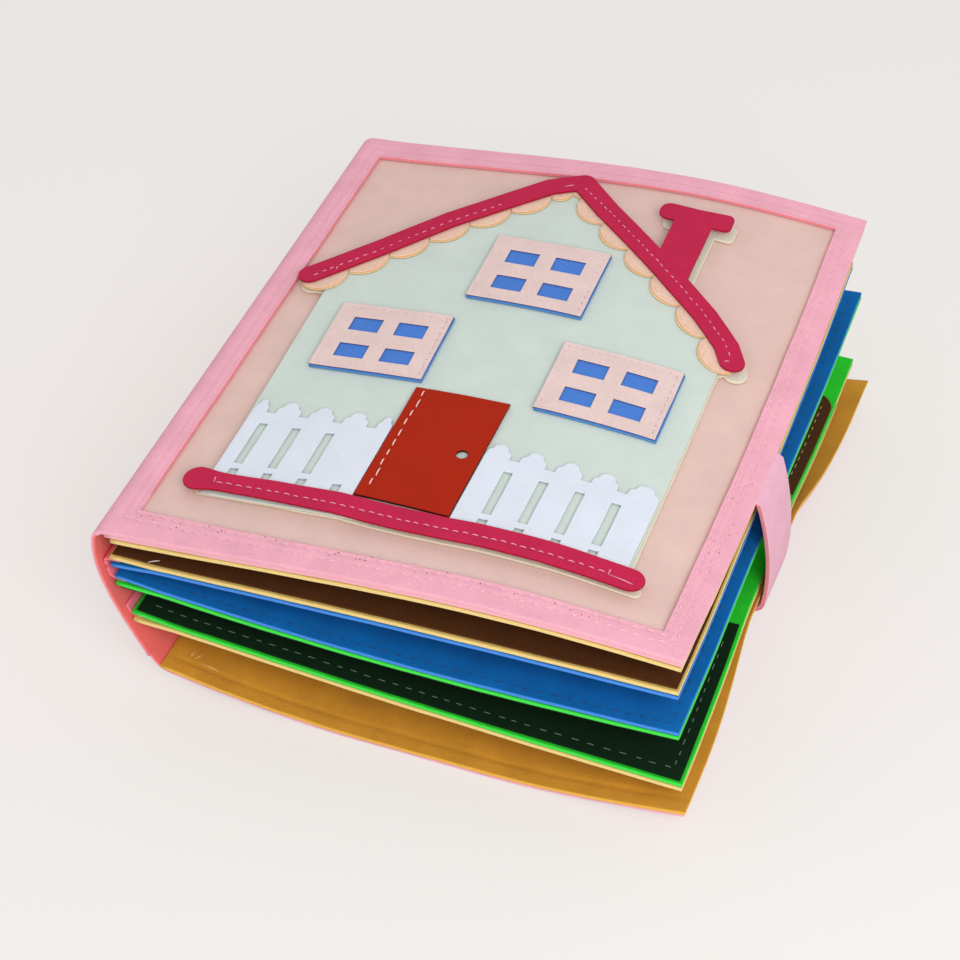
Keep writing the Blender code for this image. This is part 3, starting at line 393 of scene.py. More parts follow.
def felt_material(name, colour, rim=None, bump=0.35, mottle=0.10, fibre=0.10):
    """Pressed felt: clouded colour, short matted fibres, a soft uneven surface and a cut rim in a colour given to it,
    which on some felts is a burnt edge, on some painted light and on some painted shade.
    """
    material, tree, shader, place = new_material(name, 0.92)
    shader.inputs["Specular IOR Level"].default_value = 0.06
    shader.inputs["Sheen Weight"].default_value = 0.03
    shader.inputs["Sheen Roughness"].default_value = 0.6

    def noise(scale, detail, roughness, stretch=None, distortion=0.0):
        source = place
        if stretch:
            source = new_node(tree, "ShaderNodeMapping", {
                "Vector": place, "Scale": (*stretch, 1), "Rotation": (0, 0, FIBRE_ANGLE)}).outputs[0]
        return new_node(tree, "ShaderNodeTexNoise", {
            "Vector": source, "Scale": scale, "Detail": detail, "Roughness": roughness,
            "Distortion": distortion}).outputs["Fac"]

    def speckled(tone, value, spread):
        """A colour made darker and lighter by a spread."""
        ramp = new_node(tree, "ShaderNodeValToRGB", {"Fac": value})
        for element, position, grey in zip(ramp.color_ramp.elements, (0.3, 0.7), (1 - spread, 1 + spread)):
            element.position = position
            element.color = (grey, grey, grey, 1)
        return new_node(tree, "ShaderNodeMix", {"Factor": 1, MIX_FIRST: tone, MIX_SECOND: ramp.outputs[0]},
                        data_type="RGBA", blend_type="MULTIPLY").outputs[MIX_RESULT]

    clouds = noise(85, 3, 0.55)
    matted = noise(900, 4, 0.7, (1, 2.6), 0.6)
    hairs = noise(2600, 2, 0.6, (1, 5))
    tone = speckled(speckled(colour, clouds, mottle), matted, fibre)
    # Rim colour where the rim attribute is set: on some felts painted light, on some painted shade
    if rim:
        edge = new_node(tree, "ShaderNodeAttribute", attribute_name="rim").outputs["Fac"]
        tone = new_node(tree, "ShaderNodeMix", {
            "Factor": edge, MIX_FIRST: tone, MIX_SECOND: speckled(rim, matted, fibre)},
            data_type="RGBA").outputs[MIX_RESULT]
    tree.links.new(tone, shader.inputs["Base Color"])
    lumps = new_node(tree, "ShaderNodeBump", {"Strength": bump, "Distance": 0.0005, "Height": matted}).outputs[0]
    fine = new_node(tree, "ShaderNodeBump", {
        "Strength": bump * 0.6, "Distance": 0.0002, "Height": hairs, "Normal": lumps}).outputs[0]
    tree.links.new(fine, shader.inputs["Normal"])
    return material


def thread_material(name, colour):
    """Twisted sewing thread: fine slanting bands along each stitch."""
    material, tree, shader, place = new_material(name, 0.7)
    shader.inputs["Sheen Weight"].default_value = 0.1
    twist = new_node(tree, "ShaderNodeTexWave", {"Scale": 1.6, "Distortion": 1.2, "Vector": place},
                     bands_direction="DIAGONAL").outputs["Fac"]
    ramp = new_node(tree, "ShaderNodeValToRGB", {"Fac": twist})
    ramp.color_ramp.elements[0].color = shade(colour, 0.8)
    ramp.color_ramp.elements[1].color = colour
    tree.links.new(ramp.outputs[0], shader.inputs["Base Color"])
    bump = new_node(tree, "ShaderNodeBump", {"Strength": 0.4, "Distance": 0.00006, "Height": twist}).outputs[0]
    tree.links.new(bump, shader.inputs["Normal"])
    return material


SMOOTH = {"bump": 0.2, "fibre": 0.04}

# Felts: name, colour of the faces, colour of the cut rim, and how uneven they are; some rim colours are painted light
# and some painted shade, as noted at each
FELTS = {
    # pink: the salmon rim colour is painted shade, laid on the spine's inner face and the frame opening's wall
    "pink": ("pink_felt", (240, 174, 192), (238, 112, 108), {"mottle": 0.06}),
    "strap": ("strap_felt", (232, 178, 198), (226, 138, 146), {"mottle": 0.05}),
    "peach": ("peach_felt", (225, 194, 185), (238, 172, 186), {**SMOOTH, "mottle": 0.04}),
    # yellow and gold: the rim colours lighter than the faces are painted light on cut edges that face the lamp
    "yellow": ("yellow_felt", (222, 190, 108), (232, 206, 138), {}),
    "gold": ("golden_felt", (206, 148, 50), (232, 180, 74), {}),
    "cream": ("cream_felt", (222, 220, 200), (226, 212, 182), {"bump": 0.2, "mottle": 0.04}),
    "mint": ("mint_felt", (207, 219, 212), (216, 214, 190), {**SMOOTH, "mottle": 0.03}),
    # apricot: the darker orange rim is partly the felt's cut edge and partly painted shade
    "apricot": ("apricot_felt", (238, 202, 182), (236, 184, 142), {"mottle": 0.05}),
    "amber": ("amber_felt", (240, 200, 148), None, {"mottle": 0.05}),
    "crimson": ("crimson_felt", (194, 36, 76), (160, 24, 48), {"mottle": 0.07}),
    # red: the dark rim is the burnt edge of laser-cut felt, and on the knob hole's wall it is painted shade too
    "red": ("brick_red_felt", (170, 36, 9), (52, 8, 4), {"bump": 0.15, "mottle": 0.03, "fibre": 0.03}),
    "pale_pink": ("pale_pink_felt", (232, 206, 202), (60, 70, 120), {"mottle": 0.05}),
    # blue: the rim colour lighter than the faces is painted light on cut edges that face the lamp
    "leaf_blue": ("blue_felt", (8, 106, 178), (74, 138, 224), {}),
    "sky": ("bright_blue_felt", (76, 128, 212), (84, 140, 190), {"bump": 0.2, "mottle": 0.04}),
    "white": ("white_felt", (222, 228, 240), (200, 206, 214), {**SMOOTH, "mottle": 0.03}),
    # green: the rim colour lighter than the faces is painted light on cut edges that face the lamp
    "green": ("bright_green_felt", (40, 200, 44), (70, 222, 80), {}),
    "dark_green": ("dark_green_felt", (6, 36, 14), None, {}),
    "brown": ("brown_felt", (78, 42, 14), None, {}),
    "binding": ("binding_felt", (248, 128, 140), None, {}),
    "hook": ("hook_and_loop", (215, 155, 176), None, {"bump": 0.9, "fibre": 0.2}),
}
THREADS = {
    "pale_thread": (240, 210, 214), "pink_thread": (252, 206, 217), "bar_thread": (246, 170, 196),
    "door_thread": (255, 224, 214), "grey_thread": (110, 130, 106), "gold_thread": (240, 200, 140),
    "dark_blue_thread": (6, 60, 110), "green_thread": (190, 200, 110), "amber_thread": (242, 196, 140),
    # the dark marks paint shade in the frame's needle holes and also colour the trim's tacks; the grey marks paint
    # shade in the windows' needle holes
    "white_thread": (244, 240, 232), "dark_mark": (110, 70, 70), "grey_mark": (150, 140, 165),
}
MATERIALS = {key: felt_material(name, linear(*colour), linear(*rim) if rim else None, **uneven)
             for key, (name, colour, rim, uneven) in FELTS.items()}
MATERIALS.update({name: thread_material(name, linear(*colour)) for name, colour in THREADS.items()})


def ripple(a, b, seed):
    """Slow uneven waver, within about one, over flat places."""
    rng = random.Random(seed)
    total = 0
    for scale in (90, 160, 310, 560):
        fx, fy = rng.uniform(0.5, 1) * scale, rng.uniform(0.5, 1) * scale
        total = total + np.sin(a * fx + b * fy * rng.choice((-1, 1)) + rng.uniform(0, 6.3)) * (90 / scale) ** 0.4
    return total / 3


def stitch_points(path, start, end, steps=5):
    """Flat points along a path between two lengths."""
    path = np.array([tuple(point)[:2] for point in path])
    lengths = np.concatenate([[0], np.cumsum(np.linalg.norm(np.diff(path, axis=0), axis=1))])
    at = np.linspace(start, end, steps)
    return np.column_stack([np.interp(at, lengths, path[:, 0]), np.interp(at, lengths, path[:, 1])])


def path_length(path):
    return sum(math.dist(tuple(start)[:2], tuple(end)[:2]) for start, end in zip(path, path[1:]))


def distance_to(path, a, b):
    """Distance from flat places to a line of points."""
    best = np.full(np.shape(a), 1.0)
    for start, end in zip(path, path[1:]):
        dx, dy = end[0] - start[0], end[1] - start[1]
        length = max(dx * dx + dy * dy, 1e-12)
        t = np.clip(((a - start[0]) * dx + (b - start[1]) * dy) / length, 0, 1)
        best = np.minimum(best, np.hypot(a - start[0] - t * dx, b - start[1] - t * dy))
    return best


def add_object(name, data):
    """A new object in the scene."""
    thing = bpy.data.objects.new(name, data)
    bpy.context.scene.collection.objects.link(thing)
    return thing


def flat_mesh(name, outlines, thickness, rounding):
    """Outline filled and given its thickness, with rounded edges."""
    curve = bpy.data.curves.new(name, "CURVE")
    curve.dimensions = "2D"
    curve.fill_mode = "BOTH"
    curve.extrude = thickness / 2 - rounding
    curve.bevel_depth = rounding
    curve.bevel_resolution = 1
    curve.offset = -rounding
    for outline in outlines:
        spline = curve.splines.new("POLY")
        spline.points.add(len(outline) - 1)
        for point, flat in zip(spline.points, outline):
            point.co = (flat[0], flat[1], 0, 1)
        spline.use_cyclic_u = True
    pattern = add_object(name, curve)
    bpy.context.view_layer.update()
    mesh = bpy.data.meshes.new_from_object(pattern.evaluated_get(bpy.context.evaluated_depsgraph_get()))
    bpy.data.objects.remove(pattern)
    bpy.data.curves.remove(curve)
    return mesh


def cut_lines(low, high, cell, fine):
    """Places to cut a piece: every cell, and closely within the fine bands."""
    lines = list(np.arange(low + cell / 2, high, cell))
    for start, end in fine:
        lines = [line for line in lines if not start < line < end] + list(np.arange(start, end, FINE_CELL))
    return [line for line in lines if low + CUT_MARGIN < line < high - CUT_MARGIN]


def area_of(outlines):
    """Flat area of an outline less its holes."""
    total = 0
    for index, outline in enumerate(outlines):
        points = np.array([tuple(point)[:2] for point in outline])
        x, y = points[:, 0], points[:, 1]
        area = abs(float(np.dot(x, np.roll(y, -1)) - np.dot(y, np.roll(x, -1)))) / 2
        total += area if index == 0 else -area
    return total


# Sheets narrower than this keep their length, and a sheet that fills less of its own box is given a shorter length,
# which nothing uses. A sheet that fills less of its own box is declared shorter
SMALLEST_SHEET = 0.01
LEAST_FILL = 0.31


def felt(name, surface, outlines, levels, colour, body, nodes=(), side=None, cell=CELL, fine_a=(), fine_b=(),
         grooves=(), waver=0.00012, bridge=None, rounding=ROUNDING, slot=None, held="laid", edge=None):
    """One piece of felt, cut, pressed along its seams, bent onto its surface and hung on its body."""
    mesh = flat_mesh(name, outlines, levels[1] - levels[0], rounding)
    bm = bmesh.new()
    bm.from_mesh(mesh)
    bmesh.ops.remove_doubles(bm, verts=bm.verts[:], dist=MERGE)
    bmesh.ops.recalc_face_normals(bm, faces=bm.faces[:])
    for axis, fine in ((0, fine_a), (1, fine_b)):
        places = [vert.co[axis] for vert in bm.verts]
        for line in cut_lines(min(places), max(places), cell, fine):
            point, normal = Vector(), Vector()
            point[axis], normal[axis] = line, 1
            bmesh.ops.bisect_plane(bm, geom=bm.verts[:] + bm.edges[:] + bm.faces[:], dist=MERGE,
                                   plane_co=point, plane_no=normal)
    bmesh.ops.dissolve_degenerate(bm, dist=MERGE, edges=bm.edges[:])
    bm.to_mesh(mesh)
    bm.free()
    flat = np.zeros(len(mesh.vertices) * 3)
    mesh.vertices.foreach_get("co", flat)
    a, b, unpressed = flat.reshape(-1, 3).T.copy()
    seed = sum(ord(letter) for letter in name)
    half = (levels[1] - levels[0]) / 2
    near_face = smooth(np.abs(unpressed) / half * 2 - 1)
    press = np.zeros(len(a))
    for path, depth, width in grooves:
        press = np.maximum(press, depth * np.exp(-(distance_to(path, a, b) / width) ** 2))
    height = unpressed - press * np.where(unpressed > 0, near_face, 0)
    level = mix(*levels, 0.5) + height
    if side:
        level = level + side(a)
    # Rim attribute: the cut wall, or a piece's own mask, where the rim colour goes; on some felts that colour is
    # painted light and on some painted shade
    rim = mesh.attributes.new("rim", "FLOAT", "POINT")
    wall = 1 - smooth((np.abs(unpressed) - half + rounding * 1.01) / (rounding * 0.6))
    rim.data.foreach_set("value", edge(a, b, wall, unpressed) if edge else wall)
    placed = surface.place(a + ripple(a, b, seed) * waver, b + ripple(a, b, seed + 1) * waver, level)
    mesh.vertices.foreach_set("co", placed.ravel())
    layer = mesh.uv_layers.new(name="flat")
    corners = np.zeros(len(mesh.loops), int)
    mesh.loops.foreach_get("vertex_index", corners)
    offset = (seed % 17) * 0.05
    uv = np.column_stack([a + height * 0.8 + offset, b + height * 0.6 + offset])[corners]
    layer.data.foreach_set("uv", uv.ravel())
    mesh.update()
    mesh.materials.clear()
    mesh.materials.append(MATERIALS[colour])
    mesh.shade_smooth()
    piece = add_object(name, mesh)
    weighted = piece.modifiers.new("even_normals", "WEIGHTED_NORMAL")
    weighted.weight = 90
    if bridge:
        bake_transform(piece)
    else:
        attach(piece, body)
    if nodes:
        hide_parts(*nodes)
    area = area_of(outlines)
    width, length = np.ptp(a), np.ptp(b)
    if min(width, length) >= SMALLEST_SHEET:
        length = min(length, area / LEAST_FILL / width)


def on_front(name, outlines, levels, colour, node, **settings):
    """One piece of felt laid on the front cover."""
    felt(name, COVER, outlines, levels, colour, "front_cover", nodes=(node,), **settings)


class Thread:
    """Stitches of one thread on one body, gathered into one piece."""

    def __init__(self, name, colour, body, radius):
        self.name, self.colour, self.body, self.radius = name, colour, body, radius
        self.points, self.faces, self.uvs = [], [], []
        self.rng = random.Random(name)

    def stitch(self, surface, flat, level, side=None, sides=6):
        """One stitch that rises out of the felt and goes back in."""
        count = len(flat)
        share = np.linspace(0, 1, count)
        levels = level + self.radius * (np.sin(np.pi * share) ** 0.5 * 1.35 - 0.75)
        if side:
            levels = levels + side(flat[:, 0])
        line = surface.place(*flat.T, levels)
        along = np.gradient(line, axis=0)
        along /= np.linalg.norm(along, axis=1, keepdims=True)
        up = surface.place(*flat.T, levels + 0.001) - line
        across = np.cross(along, up)
        across /= np.linalg.norm(across, axis=1, keepdims=True)
        up = np.cross(across, along)
        first = len(self.points)
        girth = self.radius * np.clip(np.sin(np.pi * mix(0.08, 0.92, share)) ** 0.4, 0.3, 1)
        for row in range(count):
            for turn in range(sides):
                angle = 2 * math.pi * turn / sides
                offset = across[row] * math.cos(angle) + up[row] * math.sin(angle) * 0.8
                self.points.append(line[row] + offset * girth[row])
                self.uvs.append((share[row] * 6, turn / sides * 3))
        last = first + (count - 1) * sides
        for low in range(first, last, sides):
            for turn in range(sides):
                after = (turn + 1) % sides
                self.faces.append((low + turn, low + after, low + sides + after, low + sides + turn))
        self.faces += [tuple(range(first, first + sides))[::-1], tuple(range(last, last + sides))]

    def tick(self, surface, start, end, level):
        """One straight stitch."""
        start, end = np.array(start), np.array(end)
        self.stitch(surface, np.array([start, (start + end) / 2, end]), level)

    def run(self, surface, path, level, length=0.0026, gap=0.0012, side=None, wander=0.00015):
        """A running stitch along a path."""
        at, total = gap / 2, path_length(path)
        while at + length * 0.6 < total:
            long = length * self.rng.uniform(0.8, 1.15)
            flat = stitch_points(path, at, min(at + long, total))
            flat += np.array([self.rng.uniform(-wander, wander), self.rng.uniform(-wander, wander)])
            self.stitch(surface, flat, level, side)
            at += long + gap * self.rng.uniform(0.75, 1.3)

    def make(self):
        mesh = bpy.data.meshes.new(self.name)
        mesh.from_pydata([tuple(point) for point in self.points], [], self.faces)
        layer = mesh.uv_layers.new(name="flat")
        for loop in mesh.loops:
            layer.data[loop.index].uv = self.uvs[loop.vertex_index]
        mesh.materials.append(MATERIALS[self.colour])
        mesh.shade_smooth()
        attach(add_object(self.name, mesh), self.body)


def sew(name, colour, body, radius, surface, level, paths=(), ticks=(), **stitching):
    """One thread: running stitches along paths, then straight stitches between places, each at its own level."""
    thread = Thread(name, colour, body, radius)
    for path in paths:
        thread.run(surface, path, level, **stitching)
    for start, end, tick_level in ticks:
        thread.tick(surface, start, end, tick_level)
    thread.make()


def rectangle(left, bottom, right, top):
    return [(left, bottom), (right, bottom), (right, top), (left, top)]


def arc(centre, radius, start, end, steps):
    return [(centre[0] + radius * math.cos(t), centre[1] + radius * math.sin(t)) for t in
            np.linspace(start, end, steps + 1)]


def laid_on(levels, thickness):
    """Levels of a piece laid on another."""
    return (levels[1] + GAP, levels[1] + GAP + thickness)


# Levels on the front cover, from its outer face
PANEL = (-GAP - FELT - FELT, -GAP - FELT)
LINING = (PANEL[0] - GAP - FELT, PANEL[0] - GAP)
BACKING = laid_on(PANEL, THIN)
WALL = laid_on(BACKING, THIN)
TRIM = laid_on(WALL, THIN)
DOOR = laid_on(WALL, APPLIQUE)
TOP = laid_on(TRIM, APPLIQUE)

# Levels across a leaf, from its middle
CLOSED = (GAP / 2, GAP / 2 + FELT)
ON_LEAF = laid_on(CLOSED, THIN)


def on_cover(shares):
    return Vector((WIDTH * shares[0], HEIGHT * shares[1]))


# Opening of the frame, and the distance of its two seams
OPENING_LEFT = 0.0103
OPENING_RIGHT = WIDTH - 0.009
FRONT_BORDER = [(OPENING_LEFT, 0.012), (0.05, 0.0105), (0.08, 0.0099), (0.13, 0.0102), (OPENING_RIGHT, 0.0096)]
OPENING = FRONT_BORDER + [(OPENING_RIGHT, HEIGHT - 0.0081), (OPENING_LEFT, HEIGHT - 0.0107)]
FRAME_SEAMS = (0.0014, 0.0044)
# Size of the small ticks that are painted shade in needle holes
NEEDLE_HOLE_SHADE = (0.0002, 0.0004)
BAR_STITCHES = {"length": 0.002, "gap": 0.0012}

# House
ROOF_BAR = 0.0086
ROOF_PATH = [on_cover(place) for place in (
    (0.0824, 0.6045), (0.1729, 0.687), (0.2769, 0.7867), (0.3513, 0.845), (0.4261, 0.9035), (0.4829, 0.9255),
    (0.5528, 0.864), (0.6321, 0.8045), (0.705, 0.7495), (0.8033, 0.6745), (0.8575, 0.625), (0.8773, 0.5955))]
ROOF_ENDS = ((ROOF_PATH[0] - ROOF_PATH[1]).normalized(), (ROOF_PATH[-1] - ROOF_PATH[-2]).normalized())
APEX = 5
WALL_CORNERS = [on_cover(place) for place in ((0.1362, 0.1053), (0.1197, 0.6292), (0.859, 0.6057), (0.8665, 0.109))]
GROUND_BAR = 0.009
GROUND_PATH = [on_cover(place) for place in (
    (0.1245, 0.1236), (0.137, 0.1238), (0.152, 0.124), (0.172, 0.1242), (0.2482, 0.1244), (0.312, 0.1228),
    (0.3753, 0.1224), (0.4388, 0.1171), (0.5011, 0.1139), (0.5612, 0.1134), (0.6198, 0.1154), (0.736, 0.1147),
    (0.84, 0.1096), (0.8765, 0.1075))]
CHIMNEY_LEFT = WIDTH * 0.6815 - 0.0006
CHIMNEY_WIDTH = 0.0133
CAP_BASE = HEIGHT * 0.8773 - 0.0014
CAP_HEIGHT = 0.0085
CAP_OVERHANG = 0.0064
CAP_CORNER = 0.0022
CAP_ROUND = CAP_HEIGHT * 0.42
CAP_SAG = 0.0006
BACKING_SHOW = 0.0012
SCALLOP_DEPTH = 0.0045
TRIM_OVERHANG = ROOF_BAR * 0.4
WINDOW_WIDTH = 0.0409
WINDOW_HEIGHT = 0.0332
WINDOW_SEAM = 0.0017
PANE = (0.00535, 0.0034)
HAIR = 0.00003
WINDOWS = {
    "left": (on_cover((0.2852, 0.4771)), (0.98, 0.0118), (-0.0348, 1.005)),
    "top": (on_cover((0.4919, 0.685)), (1.0074, -0.0265), (-0.0101, 1.0331)),
    "right": (on_cover((0.7065, 0.4662)), (0.9927, -0.0022), (-0.0155, 1.0113))}
DOOR_LEFT = WIDTH * 0.3926
DOOR_BOTTOM = HEIGHT * 0.1509
DOOR_WIDTH = 0.0323
DOOR_HEIGHT = 0.052
DOOR_FOLD = DOOR_LEFT + 0.0038
DOOR_SLANT = -0.046
FENCE_PITCH = WIDTH * 0.062
FENCE_SLOT = 0.003
FENCE_FOOT = -0.007
PICKET_SHOULDER = 0.0248
PICKET_POINT = 0.0062
PICKET_TOP = ((-0.5, 0.0), (-0.46, 0.42), (-0.32, 0.55), (-0.24, 0.85), (0.0, 1.0),
              (0.24, 0.85), (0.32, 0.55), (0.46, 0.42), (0.5, 0.0))


def left_normal(direction):
    return Vector((-direction.y, direction.x))


def bar_side(path, offset):
    """One side of a bar along a path: mitred, but rounded outside a sharp bend."""
    runs = [(after - before).normalized() for before, after in zip(path, path[1:])]
    points = [path[0] + left_normal(runs[0]) * offset]
    for corner, before, after in zip(path[1:-1], runs, runs[1:]):
        first, second = left_normal(before), left_normal(after)
        outside = (before.x * after.y - before.y * after.x) * offset < 0
        if before.dot(after) < math.cos(math.radians(45)) and outside:
            points += [corner + mix(first, second, share / 6).normalized() * offset for share in range(7)]
        else:
            points.append(corner + (first + second) * offset / (1 + first.dot(second)))
    points.append(path[-1] + left_normal(runs[-1]) * offset)
    return points


def round_end(path, end, radius):
    """Half circle round the first or the last point of a path, clockwise."""
    heading, centre = (path[-1] - path[-2], path[-1]) if end == "last" else (path[0] - path[1], path[0])
    angle = math.atan2(heading.y, heading.x)
    return [Vector(point) for point in arc(centre, radius, angle + math.pi / 2, angle - math.pi / 2, 12)[1:-1]]


def bar(path, width, top=None):
    """Outline of a bar with round ends, whose upper side can be given."""
    upper = top or bar_side(path, width / 2)
    lower = bar_side(path, -width / 2)
    return upper + round_end(path, "last", width / 2) + lower[::-1] + round_end(path, "first", width / 2)


def height_at(side, x):
    for before, after in zip(side, side[1:]):
        if before.x <= x <= after.x:
            return mix(before.y, after.y, (x - before.x) / (after.x - before.x))
    return side[-1].y


def with_chimney(side):
    """A roof's upper side, broken by the chimney that stands on it."""
    left, right = CHIMNEY_LEFT, CHIMNEY_LEFT + CHIMNEY_WIDTH
    cap_left, cap_right = left - CAP_OVERHANG, right + CAP_OVERHANG
    base, top, quarter = CAP_BASE, CAP_BASE + CAP_HEIGHT, math.pi / 2

    def corner(edge, level, radius, start):
        across, up = 1 if edge == cap_left else -1, 1 if level == base else -1
        return arc((edge + across * radius, level + up * radius), radius, start, start - quarter, 5)

    chimney = [(left, height_at(side, left)), (left, base)]
    chimney += corner(cap_left, base, CAP_ROUND, -quarter) + corner(cap_left, top, CAP_ROUND, 2 * quarter)
    chimney += [(mix(cap_left, cap_right, 0.5), top - CAP_SAG)]
    chimney += corner(cap_right, top, CAP_CORNER, quarter) + corner(cap_right, base, CAP_CORNER, 0)
    chimney += [(right, base), (right, height_at(side, right))]
    return [p for p in side if p.x < left] + [Vector(point) for point in chimney] + [p for p in side if p.x > right]


def house_backing_outline():
    """Shape of the whole house, moved to the front and right so that a rim of it shows."""
    half = ROOF_BAR / 2
    under_right, under_left = ROOF_PATH[-1] + Vector((-half, -half)), ROOF_PATH[0] + Vector((half, -half))
    wall, foot = WALL_CORNERS, GROUND_BAR / 2
    right_wall = [Vector((wall[2].x - 0.0009, under_right.y)), Vector((wall[3].x - 0.0009, GROUND_PATH[-1].y + foot))]
    left_wall = [Vector((wall[0].x, GROUND_PATH[0].y + foot)), Vector((wall[1].x, under_left.y))]
    outline = with_chimney(bar_side(ROOF_PATH, half)) + round_end(ROOF_PATH, "last", half) + right_wall
    outline += round_end(GROUND_PATH, "last", foot / 2)[1:] + bar_side(GROUND_PATH, -foot / 2)[::-1]
    outline += round_end(GROUND_PATH, "first", foot / 2)[:-1] + left_wall + round_end(ROOF_PATH, "first", half)
    return [point + Vector((BACKING_SHOW * 1.2, -BACKING_SHOW)) for point in outline]


def scallop_runs():
    """Lines that the lobes hang from on either side of the roof's top, and how many hang there."""
    inner = bar_side(ROOF_PATH, -ROOF_BAR / 2)
    left, right = inner[0] + ROOF_ENDS[0] * TRIM_OVERHANG, inner[-1] + ROOF_ENDS[1] * TRIM_OVERHANG
    rise = [left] + inner[1:APEX] + [mix(inner[APEX - 1], inner[APEX], 0.85)]
    fall = [mix(inner[APEX], inner[APEX + 1], 0.25)] + inner[APEX + 1:-1] + [right]
    return (rise, 6.5), (fall, 6)


def scallops(path, count, grow, inner=0.0):
    """Half-round lobes along a line, bulging right, grown all round."""
    total = path_length(path)
    points = []
    for i in range(math.ceil(count)):
        size = min(1, count - i)
        ends = stitch_points(path, total * i / count, total * (i + size) / count, 2)
        start, step = Vector(ends[0]), Vector(ends[1] - ends[0])
        outward = -left_normal(step.normalized())
        for share in np.linspace(0, 1, 12)[:-1]:
            rise = (SCALLOP_DEPTH * size + grow) * math.sin(math.pi * share) ** 0.6 - inner
            points.append(start + step * share + outward * max(rise, grow * 0.5))
    return points + [start + step + outward * grow * 0.5]


def trim_outline(grow):
    """Scalloped strip under the roof bar."""
    middle = bar_side(ROOF_PATH, -ROOF_BAR * 0.125)
    left, right = scallop_runs()
    left_reach, right_reach = (way * (TRIM_OVERHANG + grow) for way in ROOF_ENDS)
    lobes = scallops(*left, grow) + scallops(*right, grow)
    return [middle[0] + left_reach] + middle[1:-1] + [middle[-1] + right_reach] + lobes[::-1]


def knob(outline, centre, reach, swell):
    """An outline swollen round one end of its bar."""
    swollen = []
    for point in outline:
        share = smooth(1 - (point[0] - centre[0]) / reach)
        grown = 1 + swell * float(share)
        x = centre[0] + (point[0] - centre[0]) * (grown if point[0] < centre[0] else 1)
        swollen.append(Vector((x, centre[1] + (point[1] - centre[1]) * grown)))
    return swollen


def about(place, points):
    """Points given from a window's middle along its own sides."""
    middle, across, up = WINDOWS[place]
    return [(middle[0] + x * across[0] + y * up[0], middle[1] + x * across[1] + y * up[1]) for x, y in points]


def fence_outlines(first, slant, left, right, slots):
    """A fence with pickets, dips between their tops, slots between the rails and gaps between the feet."""
    def place(x, y):
        return (x, first.y + y + slant * (x - first.x))

    middles = [first.x + FENCE_PITCH * i for i in range(4)]
    half = FENCE_SLOT / 2
    edges = [left] + [middle + side * half for middle in middles for side in (-1, 1)] + [right]
    border = [place(right, FENCE_FOOT), place(left, FENCE_FOOT)]
    for start, end in zip(edges[::2], edges[1::2]):
        border += [place((start + end) / 2 + across * (end - start), PICKET_SHOULDER + up * PICKET_POINT)
                   for across, up in PICKET_TOP]
    outlines = [border]
    for i, middle in enumerate(middles):
        for low, high in ((-0.006, -0.0025), (0, 0.0195))[:2 if i < slots else 1]:
            outlines.append([place(*corner) for corner in rectangle(middle - half, low, middle + half, high)])
    return outlines


def ring(points, offset):
    """Closed line round an outline, moved outwards."""
    places = np.array([tuple(point) for point in points])
    centre = Vector((places.min(axis=0) + places.max(axis=0)) / 2)
    moved = []
    for point in points:
        out = Vector(point) - centre
        moved.append(Vector(point) + Vector((math.copysign(offset, out.x), math.copysign(offset, out.y))))
    return moved + moved[:1]


def bend_ends(axis_low, axis_high, away, reach):
    """Two points either side of a hinge's axis and square to it, between which felt bends."""
    low, high, away = np.array(axis_low, float), np.array(axis_high, float), np.array(away, float)
    along = (high - low) / np.linalg.norm(high - low)
    square = away - along * np.dot(away, along)
    square /= np.linalg.norm(square)
    middle = (low + high) / 2
    return tuple(middle - square * reach), tuple(middle + square * reach)


def frame_painted_shade(a, b, wall, height):
    """Painted shade: the pink felt is given salmon on the opening's wall at the left and the back and on the spine's
    inner face, where it lies in shade.
    """
    opening = (a > 0.004) & (a < WIDTH - 0.006) & (b > 0.02) & (b < HEIGHT - 0.004)
    return np.where(opening, wall * 0.6, np.where((a < -0.001) & (height < 0), 1, 0))


